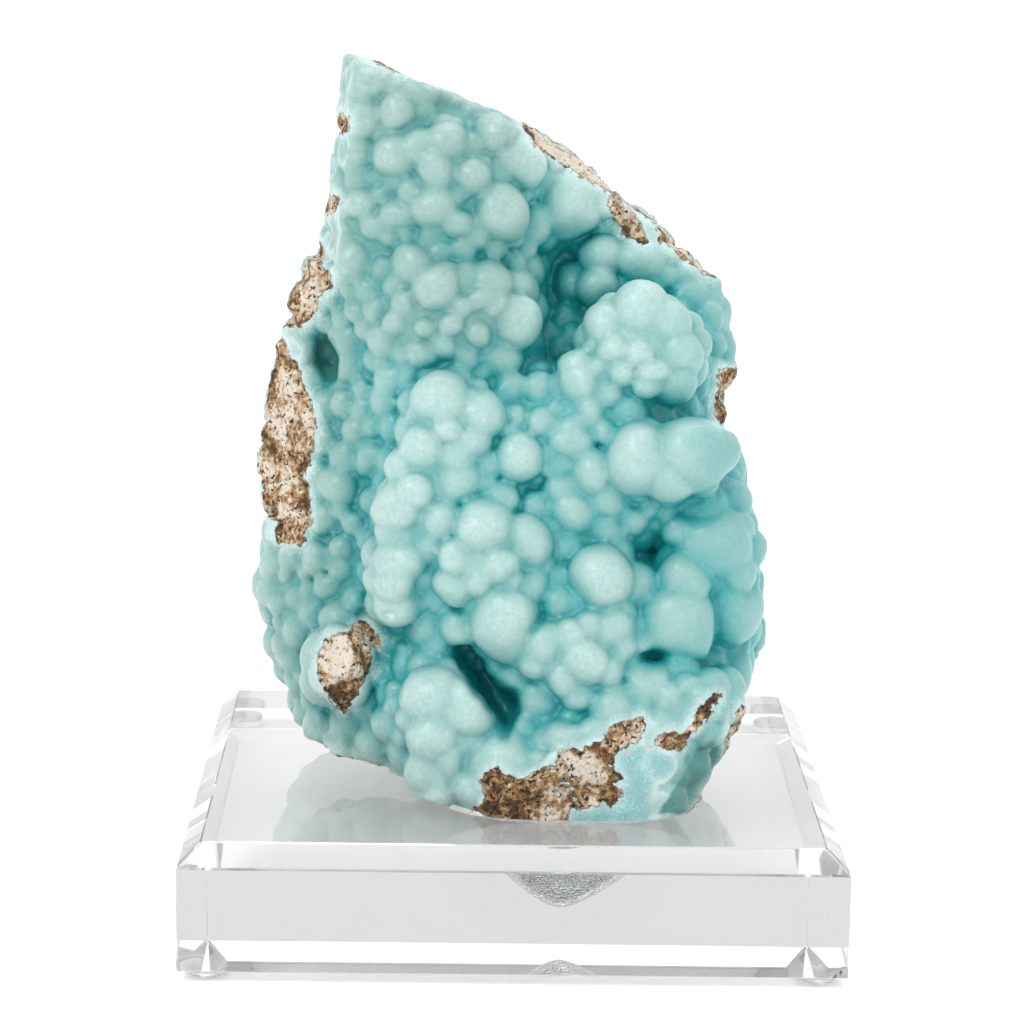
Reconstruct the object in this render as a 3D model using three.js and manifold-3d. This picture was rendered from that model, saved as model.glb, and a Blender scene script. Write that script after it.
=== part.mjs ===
// A hemimorphite specimen seated in the ground recess of a clear acrylic display base.
// Millimetres, +Z up, front towards -Y. The origin is on the floor, below the middle of the base.

import * as THREE from 'three';
import { SimplifyModifier } from 'three/addons/modifiers/SimplifyModifier.js';
import { mergeVertices } from 'three/addons/utils/BufferGeometryUtils.js';
import Module from 'manifold-3d';

const wasm = await Module();
wasm.setup();

// ---------------------------------------------------------------- driving dimensions

const BASE_WIDTH = 127;          // across the front, a 5 inch block
const BASE_DEPTH = 127;
const FOOT_HEIGHT = 2.2;
const FACE_HEIGHT = 20.2;        // upright sides, below the bevel
const BEVEL_RUN = 4.35;
const BEVEL_RISE = 4.1;
const FOOT_DIAMETER = 7.9;
const FOOT_EDGE = 1.6;           // from the base's side to the foot's rim

const BASE_TOP = FOOT_HEIGHT + FACE_HEIGHT + BEVEL_RISE;
const RECESS = { x: 11.5, y: -23.5, halfWidth: 25.5, halfDepth: 18.5, floor: 11, power: 3.4 };
const SEAT_GAP = 0.35;           // between the stone and the acrylic

// ---------------------------------------------------------------- the stone's form

// Places are given on the upright plane y = 0. A sight line runs from the viewpoint through
// the place, and what stands there lies on that line at its own depth.
const VIEWPOINT = new THREE.Vector3(-10, -728, 223);

// The stone's outline on that plane, clockwise from the tip, as [x, z].
const OUTLINE = [
  [-35.5, 168.5], [-33, 170.5], [-29.5, 170.5], [-24, 169.5], [-18, 167.5], [-10, 164.5],
  [-4, 161.5], [1, 158], [8, 154.5], [16, 150], [24, 144.5], [28, 140.5], [30, 135],
  [39, 127.5], [40.5, 124], [43, 117.5], [43.5, 112.5], [43, 107], [41, 103.5], [41, 97],
  [44, 93], [46.5, 87.5], [47.5, 81], [49, 72.5], [50.5, 63.5], [51, 55], [50.5, 50],
  [48, 44], [47.5, 36], [47, 26.5], [46, 17], [42, 8.5], [29, 1], [6.5, -0.5], [-8, 3.5],
  [-17.5, 13], [-25.5, 20.5], [-36.5, 26.5], [-42, 32], [-44, 36.5], [-46.5, 44],
  [-50.5, 55], [-52.5, 60.5], [-51, 68.5], [-50, 77.5], [-52, 88], [-51, 95], [-52, 101],
  [-51, 108], [-47.5, 113.5], [-44.5, 117.5], [-45, 123.5], [-42, 130], [-39.5, 134.5],
  [-38, 140.5], [-37.5, 147.5], [-35.5, 154.5], [-35.5, 159], [-36.5, 163],
];

// How far forward the front lies, as [x, z, y]; between the posts the depth blends.
const RELIEF_REACH = 9;
const RELIEF = [
  // the tall sheet at the upper left
  [-33, 166, -1], [-20, 159.5, -5], [-4, 152, -6], [-31.5, 147.5, -4], [-16, 141.5, -9],
  [-2, 138, -8], [-34.5, 129.5, -2], [-19.5, 123.5, -13], [-3.5, 122, -12],
  [-27.5, 113.5, -12], [-13.5, 111.5, -15],
  // the set-back flank at the left
  [-43.5, 121.5, 3], [-39.5, 109.5, 3], [-46.5, 101, 4], [-34.5, 95, -6], [-46.5, 89, 4],
  [-43.5, 76.5, -2], [-33, 77, -9], [-47.5, 62, -1], [-37, 60, -11], [-29.5, 91, -9],
  [-27, 64.5, -12], [-44, 43.5, -5], [-35, 33, -16],
  // the swelling middle
  [-15.5, 93.5, -22], [-19, 73, -24], [-3, 73, -26], [-9, 60.5, -27], [9, 91.5, -21],
  [17, 77.5, -20], [25, 94, -22], [37, 88, -20], [44.5, 77.5, -10], [49, 61.5, -10],
  [36, 61, -22], [17.5, 56.5, -28], [24.5, 110, -14], [37.5, 106.5, -9],
  // the foot
  [9.5, 44, -30], [28, 42, -31], [46.5, 44.5, -20], [38.5, 27.5, -35], [18, 23, -43],
  [-2, 21, -44], [-16.5, 25, -35], [-14.5, 35.5, -30], [-6.5, 50, -22], [-2.5, 40, -22],
  // the cave's back wall and the rim above it
  [20, 132, 9], [10, 136, 8], [8.5, 120, 7], [34.5, 123.5, 3], [40.5, 116.5, -1],
  [16, 146, 9], [34, 130, 9], [8, 154, 5],
];
const RIM_ROUNDING = 15;         // how far in from the outline the front curves over
const RIM_DEPTH = 6;             // the y at which the outline itself lies
const BACK_DEPTH = 34;

// The large swellings, each with its centre and half sizes along x, y and z.
const LOBES = [
  { name: 'sheet foot', at: [-12.5, -7, 119], half: [16.5, 12, 13.5] },
  { name: 'sheet middle', at: [-13, -1, 141], half: [15, 11, 18] },
  { name: 'sheet top', at: [-25, 3, 160], half: [11.5, 9, 11] },
  { name: 'sheet left', at: [-28.5, 1, 131.5], half: [10, 10, 18] },
  { name: 'sheet shoulder', at: [-4, 1, 151.5], half: [8, 8, 9] },
  { name: 'cap', at: [24, -11, 115], half: [12, 12, 13] },
  { name: 'cap foot', at: [14.5, -13, 105], half: [7.5, 9, 10] },
  { name: 'ridge', at: [30, -19, 93], half: [12.5, 9.5, 7.8] },
  { name: 'centre crown', at: [-13, -16, 99], half: [10, 11, 10.5] },
  { name: 'centre left', at: [-18, -18, 84.5], half: [9, 11, 13] },
  { name: 'centre foot', at: [-22.5, -18, 69.5], half: [7.5, 11, 11] },
  { name: 'centre front', at: [-6, -20, 74], half: [13, 14, 11.5] },
  { name: 'middle', at: [12.5, -14, 84], half: [8, 11, 13] },
  { name: 'right', at: [37, -12, 72], half: [12, 13, 16] },
  { name: 'lower middle', at: [12, -22, 55.5], half: [14, 13.5, 13] },
  { name: 'lower left', at: [-13, -26, 44], half: [10.5, 11.5, 8.5] },
  { name: 'lower left foot', at: [-14.5, -29, 32], half: [6.5, 9, 8.5] },
  { name: 'broken stub', at: [-33.5, -12, 50.5], half: [8.5, 16, 9.5] },
  { name: 'lower right', at: [33, -24, 46], half: [13, 13, 9] },
];
const LOBE_BLEND = 3;

// Pockets between the swellings, given the same way.
const POCKETS = [
  { name: 'cave, left', at: [8, -8, 126], half: [6, 14, 11] },
  { name: 'cave, top', at: [16, -6, 135], half: [12, 12, 7.5] },
  { name: 'cave, right', at: [34, -8, 125], half: [6, 10, 4] },
  { name: 'slot', at: [-4.5, -26, 46.5], half: [3.2, 18, 9] },
  { name: 'behind the ball', at: [26.5, -24, 74], half: [4, 12, 5] },
  { name: 'left', at: [-39, -4, 109.5], half: [4, 7, 6] },
  { name: 'middle', at: [1.5, -28, 88.5], half: [5.5, 8, 4] },
  { name: 'right crack', at: [27, -34, 55], half: [4, 10, 3] },
];
const POCKET_BLEND = 2;

// The rounded heads of the crust, as [x, z, radius, lift]. The lift is how far the head
// stands out of the form below it, as a part of its radius.
const HEADS = [
  // sheet
  [-30, 165, 3.6, 0], [-31.5, 158.5, 2.8, 0], [-20, 164.5, 3.8, 0.1], [-32, 151.5, 4.2, 0.1],
  [-24, 151, 4, 0.2], [-20, 152, 3.2, 0.2], [-14, 153, 3.2, 0.2], [-16.5, 147.5, 3, 0.2],
  [-9.5, 146.5, 3.4, 0.4], [-4, 139.5, 4.6, 0.5], [-17, 140.5, 4, 0.2], [-1, 149, 4.8, 0],
  [-31, 140.5, 3, 0.1], [-24.5, 138.5, 2.8, 0.1], [-32.5, 128.5, 4, 0.1], [-37.5, 128.5, 2.8, 0],
  [-20.5, 128.5, 4, 0.3], [-16, 124.5, 4, 0.4], [-19, 111, 2.8, 0.2], [-33.5, 112.5, 3.8, 0.1],
  [-33, 108.5, 3.4, 0.1], [-26, 113.5, 3.2, 0.1], [-24.5, 105.5, 3.2, 0.1], [-25, 101.5, 3.4, 0],
  [-0.5, 124, 3.6, 0.2], [-0.5, 117.5, 4.2, 0.2], [-4, 110, 3.8, 0.2], [-12.5, 137, 2.8, 0.1],
  // cave wall and rim
  [9, 141, 5.4, 0.2], [16.5, 131, 3, 0], [24, 130, 4.4, 0], [11.5, 124, 3.8, 0.2],
  [2, 137, 3.6, 0], [8.5, 128, 3, 0], [37.5, 118.5, 3, 0], [14, 143, 2.8, 0], [5, 145, 3.2, 0],
  [6, 150, 2.8, 0],
  // cap
  [13, 105.5, 3.4, 0.2], [12.5, 108.5, 3.2, 0.2], [17.5, 117.5, 3.8, 0], [24.5, 120, 4.8, 0],
  [30, 117.5, 3.6, 0], [19, 112.5, 2.8, 0], [32.5, 111.5, 3.6, 0], [35, 106, 3, 0],
  [33, 101.5, 3, 0], [8.5, 111.5, 2.8, 0.1], [35.5, 113.5, 2.8, 0],
  // ridge
  [25, 90, 5.6, 0.2], [35.5, 91, 6, 0.2], [39.5, 91, 3.8, 0.2], [31.5, 86.5, 4.2, 0.1],
  [27, 94, 3.2, 0.1], [22.5, 87.5, 3.2, 0.1],
  // centre
  [-15.5, 101.5, 4.6, 0.2], [-18, 91.5, 4, 0.2], [-7, 98.5, 4, 0.2], [0.5, 90, 4.4, 0.4],
  [-24.5, 89, 2.8, 0], [-1.5, 103.5, 2.8, 0.1], [4.5, 103, 3.2, 0.1], [-12, 90.5, 3.6, 0.1],
  [-12, 85, 4.6, 0.2], [-9, 93.5, 3, 0.1], [-3, 80.5, 3.4, 0.2], [-23, 79.5, 4, 0.1],
  [-20, 83, 3, 0.1], [-23, 74.5, 3.6, 0.1], [-14.5, 77, 3.6, 0.2], [-6, 75, 5, 0.2],
  [2, 73, 4.2, 0.1], [4, 79.5, 2.8, 0], [-12, 69.5, 3, 0.2], [-17, 65, 2.8, 0.1],
  [-23, 68.5, 4, 0.1], [-24, 63.5, 3.2, 0.1], [-17, 72, 3, 0], [-3, 68, 3, 0.1],
  [-15, 60.5, 3, 0.1],
  // middle and right
  [11, 93.5, 3.6, 0.2], [11, 96, 2.8, 0.2], [15, 87.5, 4, 0.2], [9, 83.5, 2.8, 0.1],
  [11, 79.5, 3.8, 0.1], [10, 72, 3, 0.1], [23.5, 78, 2.8, 0.1], [33.5, 75, 3, 0.1],
  [40.5, 77.5, 3.6, 0], [40.5, 68.5, 3.6, 0], [45, 71, 3.4, 0], [46, 62, 4.2, 0],
  [18, 75.5, 2.8, 0], [24, 64.5, 4, 0.2], [44, 49.5, 4.2, 0], [44.5, 81, 3.2, 0],
  [46, 87, 2.8, 0], [48.5, 55, 2.8, 0],
  // the large balls
  [-1.5, 57, 5.4, 0.5], [-1.5, 55, 5.2, 0.5], [-10, 55.5, 3.8, 0.2], [17.5, 65.5, 5.4, 0.7],
  [34.5, 64.5, 4, 0.3], [33, 56, 6.6, 0.5],
  // lower middle
  [20, 55, 4, 0.1], [11.5, 53, 2.8, 0.2], [9.5, 60, 3.2, 0.1], [6.5, 52, 3.6, 0.2],
  [14.5, 48.5, 3.8, 0.1], [0, 45, 3.6, 0.1], [5.5, 39.5, 4.4, 0.1], [13, 41.5, 2.8, 0.1],
  [19, 46.5, 2.8, 0.1], [22, 51, 2.8, 0.1], [20, 39, 4, 0.1], [27.5, 43.5, 4.4, 0.1],
  [21, 58, 3.4, 0.1], [-1, 26, 6.4, -0.2], [2, 32.5, 3.2, 0.1], [10.5, 32, 3.2, 0.2],
  [16.5, 33.5, 2.8, 0], [15.5, 55.5, 2.8, 0.1], [26, 37, 2.8, 0], [39, 48, 3.8, 0],
  [47.5, 48.5, 3.2, 0], [47, 42, 2.8, 0], [38.5, 40, 2.8, 0], [44.5, 39.5, 2.8, 0],
  [44, 32.5, 2.8, 0], [32, 40, 2.8, 0],
  // flank
  [-34.5, 84, 4, 0.1], [-44.5, 68.5, 2.8, 0], [-51, 61, 2.8, 0], [-39, 68.5, 3, 0],
  [-29, 66, 2.8, 0], [-34.5, 55, 4, 0.1], [-45, 51.5, 2.8, 0], [-42.5, 43, 3, 0],
  [-39.5, 39, 2.8, 0], [-38, 33.5, 3.6, 0], [-27.5, 31.5, 3.6, 0.2], [-37, 62.5, 2.8, 0],
  [-31, 60.5, 2.8, 0], [-37.5, 76.5, 3, 0], [-33.5, 90, 3, 0], [-43, 48.5, 2.8, 0],
  [-39.5, 57.5, 3.6, 0.1],
  // lower left
  [-17, 39.5, 5.8, 0.1], [-9.5, 37, 5.4, 0.1], [-15.5, 31, 4, 0], [-17.5, 24.5, 3.4, 0],
  [-12.5, 27, 3.2, 0],
];
const HEAD_BLEND = 0.9;

// Where rock broke away: a point on the break, the way the break faces, and how far it
// reaches across and up from the point.
const WIDE = 120;
const BREAKS = [
  { name: 'back', at: [-0.5, 27, 76], facing: [0.02, 0.99, 0.13], reach: [WIDE, WIDE] },
  { name: 'back, left', at: [-38, 17, 88], facing: [-0.5, 0.86, 0.05], reach: [WIDE, WIDE] },
  { name: 'back, right', at: [38, 17, 89], facing: [0.52, 0.85, 0.08], reach: [WIDE, WIDE] },
  { name: 'back, foot', at: [0.5, 12, 19.5], facing: [0, 0.8, -0.6], reach: [WIDE, WIDE] },
  { name: 'top right', at: [1, 13, 156.2], facing: [0.61, -0.1, 0.78], reach: [WIDE, WIDE] },
  { name: 'crest', at: [-16, 0, 165], facing: [0.36, 0.09, 0.93], reach: [WIDE, WIDE] },
  { name: 'upper left', at: [-38, 4, 147], facing: [-0.96, -0.22, 0.1], reach: [WIDE, 28] },
  { name: 'left patch', at: [-50, 6, 92.5], facing: [-0.76, -0.65, 0.1], reach: [14, 21] },
  { name: 'stub tip', at: [-32.5, -25, 55], facing: [-0.2, -0.97, 0.12], reach: [12, 12] },
  { name: 'front foot', at: [18.5, -40, 36.5], facing: [0.1, -0.985, 0.1], reach: [32, 15] },
  { name: 'under, left', at: [-25.5, -20, 28.5], facing: [-0.3, -0.1, -0.95], reach: [WIDE, WIDE] },
  { name: 'under, right', at: [41, -30, 29.5], facing: [0.8, 0.1, -0.59], reach: [WIDE, WIDE] },
  { name: 'right side', at: [50.5, 6, 60], facing: [0.93, 0.35, 0.05], reach: [WIDE, WIDE] },
];
const BREAK_BLOCK = 60;          // thickness of the block that came away

const GRID_STEP = 1.9;           // spacing of the skin before it is simplified
const SKIN_VERTICES = 4200;
const GRID_LOW = new THREE.Vector3(-60, -50, -16);
const GRID_HIGH = new THREE.Vector3(60, 40, 178);

// ---------------------------------------------------------------- solids

/** Turn a closed three.js geometry into a manifold solid. */
function solidOf(geometry) {
  const bare = geometry.clone();
  bare.deleteAttribute('normal');
  bare.deleteAttribute('uv');
  const merged = mergeVertices(bare, 1e-4);
  return new wasm.Manifold(new wasm.Mesh({
    numProp: 3,
    vertProperties: new Float32Array(merged.attributes.position.array),
    triVerts: new Uint32Array(merged.index.array),
  }));
}

/** Turn a manifold solid back into a three.js geometry. */
function geometryOf(solid) {
  const mesh = solid.getMesh();
  const geometry = new THREE.BufferGeometry();
  geometry.setAttribute('position', new THREE.BufferAttribute(new Float32Array(mesh.vertProperties), 3));
  geometry.setIndex(new THREE.BufferAttribute(new Uint32Array(mesh.triVerts), 1));
  geometry.computeVertexNormals();
  return geometry;
}

// ---------------------------------------------------------------- the stone as a field
// The field is below zero inside the stone, and near the surface it is the distance in mm.

/** The smaller of two fields, rounded over where they meet. */
function blendUnion(a, b, width) {
  const near = Math.max(width - Math.abs(a - b), 0) / width;
  return Math.min(a, b) - near * near * width * 0.25;
}

/** Distance inside the outline; below zero outside it. */
function insideOutline(x, z) {
  let nearest = Infinity;
  let inside = false;
  OUTLINE.forEach(([ax, az], i) => {
    const [bx, bz] = OUTLINE[(i + 1) % OUTLINE.length];
    const ex = bx - ax;
    const ez = bz - az;
    const t = THREE.MathUtils.clamp(((x - ax) * ex + (z - az) * ez) / (ex * ex + ez * ez), 0, 1);
    nearest = Math.min(nearest, Math.hypot(x - ax - t * ex, z - az - t * ez));
    if ((az > z) !== (bz > z) && x < ax + ((z - az) / ez) * ex) inside = !inside;
  });
  return inside ? nearest : -nearest;
}

/** The y of the front surface, blended from the relief posts. */
function reliefDepth(x, z) {
  let sum = 0;
  let total = 0;
  for (const [px, pz, depth] of RELIEF) {
    const square = (x - px) ** 2 + (z - pz) ** 2;
    const weight = Math.exp(-square / (2 * RELIEF_REACH ** 2)) + 1e-12 / (1 + square);
    sum += weight * depth;
    total += weight;
  }
  return sum / total;
}

/** The body under the lobes: a cushion on the outline, with the relief as its front. */
function cushion(x, y, z) {
  const scale = -VIEWPOINT.y / (y - VIEWPOINT.y);
  const placeX = VIEWPOINT.x + (x - VIEWPOINT.x) * scale;
  const placeZ = VIEWPOINT.z + (z - VIEWPOINT.z) * scale;
  const front = RIM_DEPTH - Math.min(reliefDepth(placeX, placeZ), RIM_DEPTH - 3);
  const depth = y < RIM_DEPTH ? front : BACK_DEPTH - RIM_DEPTH;
  const across = Math.max(1 - insideOutline(placeX, placeZ) / RIM_ROUNDING, 0);
  const along = Math.abs(y - RIM_DEPTH) / depth;
  const radius = Math.hypot(across, along) + 1e-6;
  const slope = Math.hypot(across / RIM_ROUNDING, along / depth) / radius + 1e-4;
  return THREE.MathUtils.clamp((radius - 1) / slope, -12, 12);
}

/** Distance to an ellipsoid, from its centre and half sizes. */
function ellipsoid(x, y, z, { at, half }) {
  const q = [(x - at[0]) / half[0], (y - at[1]) / half[1], (z - at[2]) / half[2]];
  const reach = Math.hypot(...q) + 1e-9;
  const slope = Math.hypot(q[0] / half[0], q[1] / half[1], q[2] / half[2]) + 1e-9;
  return (reach * (reach - 1)) / slope;
}

/** The large forms: cushion and lobes together, less the pockets. */
function largeForm(x, y, z) {
  let field = cushion(x, y, z);
  for (const lobe of LOBES) field = blendUnion(field, ellipsoid(x, y, z, lobe), LOBE_BLEND);
  for (const pocket of POCKETS) field = -blendUnion(-field, ellipsoid(x, y, z, pocket), POCKET_BLEND);
  return field;
}

/** A point at depth y on the sight line through the place [x, 0, z]. */
function onSightLine(x, z, y) {
  const scale = (y - VIEWPOINT.y) / -VIEWPOINT.y;
  return new THREE.Vector3(
    VIEWPOINT.x + (x - VIEWPOINT.x) * scale,
    y,
    VIEWPOINT.z + (z - VIEWPOINT.z) * scale,
  );
}

/** Set each head on the large form, where its sight line meets it. */
function seatHeads() {
  const seated = [];
  for (const [x, z, radius, lift] of HEADS) {
    for (let y = GRID_LOW.y; y < RIM_DEPTH + 8; y += 0.25) {
      const point = onSightLine(x, z, y);
      if (largeForm(point.x, point.y, point.z) < 0) {
        seated.push({ centre: onSightLine(x, z, y - lift * radius), radius });
        break;
      }
    }
  }
  return seated;
}

const heads = seatHeads();

/** The grown stone, before anything broke off it. */
function grownStone(x, y, z) {
  let field = largeForm(x, y, z);
  if (Math.abs(field) > 11) return field;
  for (const { centre, radius } of heads) {
    const distance = Math.hypot(x - centre.x, y - centre.y, z - centre.z) - radius;
    field = blendUnion(field, distance, HEAD_BLEND);
  }
  return field;
}

// ---------------------------------------------------------------- faceted skin of the field

/** Fill grid points until no two stretches of stone touch at a corner or an edge alone. */
function fillTouchingCorners(value, [nx, ny, nz]) {
  const strides = [ny * nz, nz, 1];
  const starts = [0, ...strides];
  const whole = strides[0] + strides[1] + strides[2];
  const fill = (a, b) => {
    value[value[a] < value[b] ? a : b] = -1e-3;
  };
  let changed = true;
  while (changed) {
    changed = false;
    for (let i = 0; i < nx - 1; i++) {
      for (let j = 0; j < ny - 1; j++) {
        for (let k = 0; k < nz - 1; k++) {
          const origin = i * strides[0] + j * strides[1] + k;
          for (const [s, t] of [[0, 1], [1, 2], [0, 2]]) {
            const far = origin + strides[s] + strides[t];
            const [p, q] = [origin + strides[s], origin + strides[t]];
            const [a, b, c, d] = [origin, far, p, q].map((n) => value[n] < 0);
            if (a !== b || c !== d || a === c) continue;
            if (a) fill(p, q);
            else fill(origin, far);
            changed = true;
          }
          for (const first of starts) {
            const pair = [origin + first, origin + whole - first];
            const rest = starts
              .flatMap((n) => [origin + n, origin + whole - n])
              .filter((n) => !pair.includes(n));
            const alone = value[pair[0]] < 0;
            if (alone !== value[pair[1]] < 0) continue;
            if (rest.some((n) => value[n] < 0 === alone)) continue;
            if (alone) fill(rest[0], rest[1]);
            else fill(pair[0], pair[1]);
            changed = true;
          }
        }
      }
    }
  }
}

/** Where each crossed cell's edges meet the surface, averaged: one vertex a cell. */
function skinOf(field, low, high, step) {
  const count = high.clone().sub(low).divideScalar(step).ceil().addScalar(1);
  const [nx, ny, nz] = count.toArray();
  const at = (i, j, k) => (i * ny + j) * nz + k;
  const value = new Float32Array(nx * ny * nz);
  for (let i = 0; i < nx; i++) {
    for (let j = 0; j < ny; j++) {
      for (let k = 0; k < nz; k++) {
        value[at(i, j, k)] = field(low.x + i * step, low.y + j * step, low.z + k * step);
      }
    }
  }

  fillTouchingCorners(value, [nx, ny, nz]);

  const corners = [0, 1, 2, 3, 4, 5, 6, 7].map((c) => [c & 1, (c >> 1) & 1, (c >> 2) & 1]);
  const edges = [];
  for (let a = 0; a < 8; a++) {
    for (const bit of [1, 2, 4]) if (!(a & bit)) edges.push([a, a | bit]);
  }

  const vertexOf = new Map();
  const positions = [];
  const addVertex = (i, j, k) => {
    const sum = new THREE.Vector3();
    let crossings = 0;
    for (const [a, b] of edges) {
      const [p, q] = [corners[a], corners[b]];
      const fp = value[at(i + p[0], j + p[1], k + p[2])];
      const fq = value[at(i + q[0], j + q[1], k + q[2])];
      if (fp < 0 === fq < 0) continue;
      sum.add(new THREE.Vector3(...p).lerp(new THREE.Vector3(...q), fp / (fp - fq)));
      crossings += 1;
    }
    if (crossings === 0) return;
    const place = sum.divideScalar(crossings).add(new THREE.Vector3(i, j, k));
    vertexOf.set(at(i, j, k), positions.length / 3);
    positions.push(...place.multiplyScalar(step).add(low).toArray());
  };
  for (let i = 0; i < nx - 1; i++) {
    for (let j = 0; j < ny - 1; j++) {
      for (let k = 0; k < nz - 1; k++) addVertex(i, j, k);
    }
  }

  const indices = [];
  const addQuad = (a, b, c, d, outward) => {
    const quad = outward ? [a, b, c, d] : [d, c, b, a];
    indices.push(quad[0], quad[1], quad[2], quad[0], quad[2], quad[3]);
  };
  for (let i = 1; i < nx - 1; i++) {
    for (let j = 1; j < ny - 1; j++) {
      for (let k = 1; k < nz - 1; k++) {
        const here = value[at(i, j, k)] < 0;
        const cell = (di, dj, dk) => vertexOf.get(at(i + di, j + dj, k + dk));
        if (here !== value[at(i + 1, j, k)] < 0) {
          addQuad(cell(0, -1, -1), cell(0, 0, -1), cell(0, 0, 0), cell(0, -1, 0), here);
        }
        if (here !== value[at(i, j + 1, k)] < 0) {
          addQuad(cell(-1, 0, -1), cell(-1, 0, 0), cell(0, 0, 0), cell(0, 0, -1), here);
        }
        if (here !== value[at(i, j, k + 1)] < 0) {
          addQuad(cell(-1, -1, 0), cell(0, -1, 0), cell(0, 0, 0), cell(-1, 0, 0), here);
        }
      }
    }
  }

  const geometry = new THREE.BufferGeometry();
  geometry.setAttribute('position', new THREE.Float32BufferAttribute(positions, 3));
  geometry.setIndex(indices);
  return geometry;
}

// ---------------------------------------------------------------- hemimorphite

/** The block that came away at a break, as a solid outside the break's face. */
function breakBlock({ at, facing, reach }) {
  const outward = new THREE.Vector3(...facing).normalize();
  const hint = Math.abs(outward.z) < 0.9 ? new THREE.Vector3(0, 0, 1) : new THREE.Vector3(0, -1, 0);
  const across = new THREE.Vector3().crossVectors(hint, outward).normalize();
  const up = new THREE.Vector3().crossVectors(outward, across);
  const place = new THREE.Matrix4().makeBasis(across, up, outward);
  place.setPosition(new THREE.Vector3(...at).addScaledVector(outward, BREAK_BLOCK / 2));
  return solidOf(new THREE.BoxGeometry(2 * reach[0], 2 * reach[1], BREAK_BLOCK).applyMatrix4(place));
}

/** The bowl-shaped plug that fills the recess, shrunk by a margin and with its rim at a height. */
function recessPlug(margin, rim) {
  const deep = BASE_TOP - RECESS.floor;
  const radiusAt = (t) => RECESS.halfDepth * (1 - 0.56 * (1 - t) ** 1.6) - margin;
  const profile = [new THREE.Vector2(0, RECESS.floor + margin)];
  for (let step = 0; step <= 5; step++) {
    const t = step / 5;
    profile.push(new THREE.Vector2(radiusAt(t), RECESS.floor + margin + t * (deep - margin)));
  }
  profile.push(new THREE.Vector2(radiusAt(1), rim), new THREE.Vector2(0, rim));
  const plug = new THREE.LatheGeometry(profile, 32).rotateX(Math.PI / 2);
  const position = plug.attributes.position;
  for (let v = 0; v < position.count; v++) {
    const turn = Math.atan2(position.getY(v), position.getX(v));
    const square = Math.abs(Math.cos(turn)) ** RECESS.power + Math.abs(Math.sin(turn)) ** RECESS.power;
    const stretch = square ** (-1 / RECESS.power);
    position.setX(v, position.getX(v) * stretch * (RECESS.halfWidth / RECESS.halfDepth));
    position.setY(v, position.getY(v) * stretch);
  }
  return solidOf(plug.translate(RECESS.x, RECESS.y, 0));
}

/** The stone: grown, broken, faceted and ground to fit the base. */
async function hemimorphite() {
  let rock = solidOf(skinOf(grownStone, GRID_LOW, GRID_HIGH, GRID_STEP));
  for (const broken of BREAKS) rock = rock.subtract(breakBlock(broken));
  const fine = mergeVertices(geometryOf(rock).deleteAttribute('normal'));
  const surplus = fine.attributes.position.count - SKIN_VERTICES;
  const faceted = solidOf(await new SimplifyModifier().modify(fine, surplus));

  const under = new THREE.BoxGeometry(2 * WIDE, 2 * WIDE, WIDE);
  under.translate(0, 0, BASE_TOP + SEAT_GAP - WIDE / 2);
  const ground = solidOf(under).subtract(recessPlug(SEAT_GAP, BASE_TOP + 4));
  const pieces = faceted.subtract(ground).decompose();
  return geometryOf(pieces.sort((a, b) => b.volume() - a.volume())[0]);
}

// ---------------------------------------------------------------- acrylic base and feet

/** The clear block, bevelled round its top, with the ground recess in it. */
function acrylicBase() {
  const outline = new THREE.Shape();
  outline.moveTo(-BASE_WIDTH / 2, -BASE_DEPTH / 2);
  outline.lineTo(BASE_WIDTH / 2, -BASE_DEPTH / 2);
  outline.lineTo(BASE_WIDTH / 2, BASE_DEPTH / 2);
  outline.lineTo(-BASE_WIDTH / 2, BASE_DEPTH / 2);
  outline.closePath();
  const block = new THREE.ExtrudeGeometry(outline, { depth: FACE_HEIGHT + BEVEL_RISE, bevelEnabled: false });
  block.translate(0, 0, FOOT_HEIGHT);
  const position = block.attributes.position;
  const insetX = 1 - (2 * BEVEL_RUN) / BASE_WIDTH;
  const insetY = 1 - (2 * BEVEL_RUN) / BASE_DEPTH;
  const frustum = block.clone();
  const upper = frustum.attributes.position;
  for (let v = 0; v < position.count; v++) {
    const top = position.getZ(v) > FOOT_HEIGHT + 1;
    position.setZ(v, top ? FOOT_HEIGHT + FACE_HEIGHT : FOOT_HEIGHT);
    upper.setZ(v, top ? BASE_TOP : FOOT_HEIGHT + FACE_HEIGHT);
    if (top) upper.setXY(v, upper.getX(v) * insetX, upper.getY(v) * insetY);
  }
  return geometryOf(solidOf(block).add(solidOf(frustum)).subtract(recessPlug(0, BASE_TOP + 8)));
}

/** A low dome bumper: flat where it meets the base and where it meets the floor. */
function bumperFoot() {
  const radius = FOOT_DIAMETER / 2;
  const profile = [[0, 0], [0.62, 0], [0.86, 0.22], [1, 0.62], [1, 1], [0, 1]];
  const points = profile.map(([r, h]) => new THREE.Vector2(r * radius, h * FOOT_HEIGHT));
  return new THREE.LatheGeometry(points, 16).rotateX(Math.PI / 2);
}

// ---------------------------------------------------------------- the assembly

const group = new THREE.Group();

const stone = new THREE.Mesh(
  await hemimorphite(),
  new THREE.MeshStandardMaterial({ color: 0xa6d8d3, roughness: 0.55, metalness: 0 }),
);
stone.name = 'hemimorphite';
group.add(stone);

const base = new THREE.Mesh(
  acrylicBase(),
  new THREE.MeshStandardMaterial({
    color: 0xf4f6f6, roughness: 0.05, metalness: 0, transparent: true, opacity: 0.3,
  }),
);
base.name = 'acrylic_base';
group.add(base);

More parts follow.
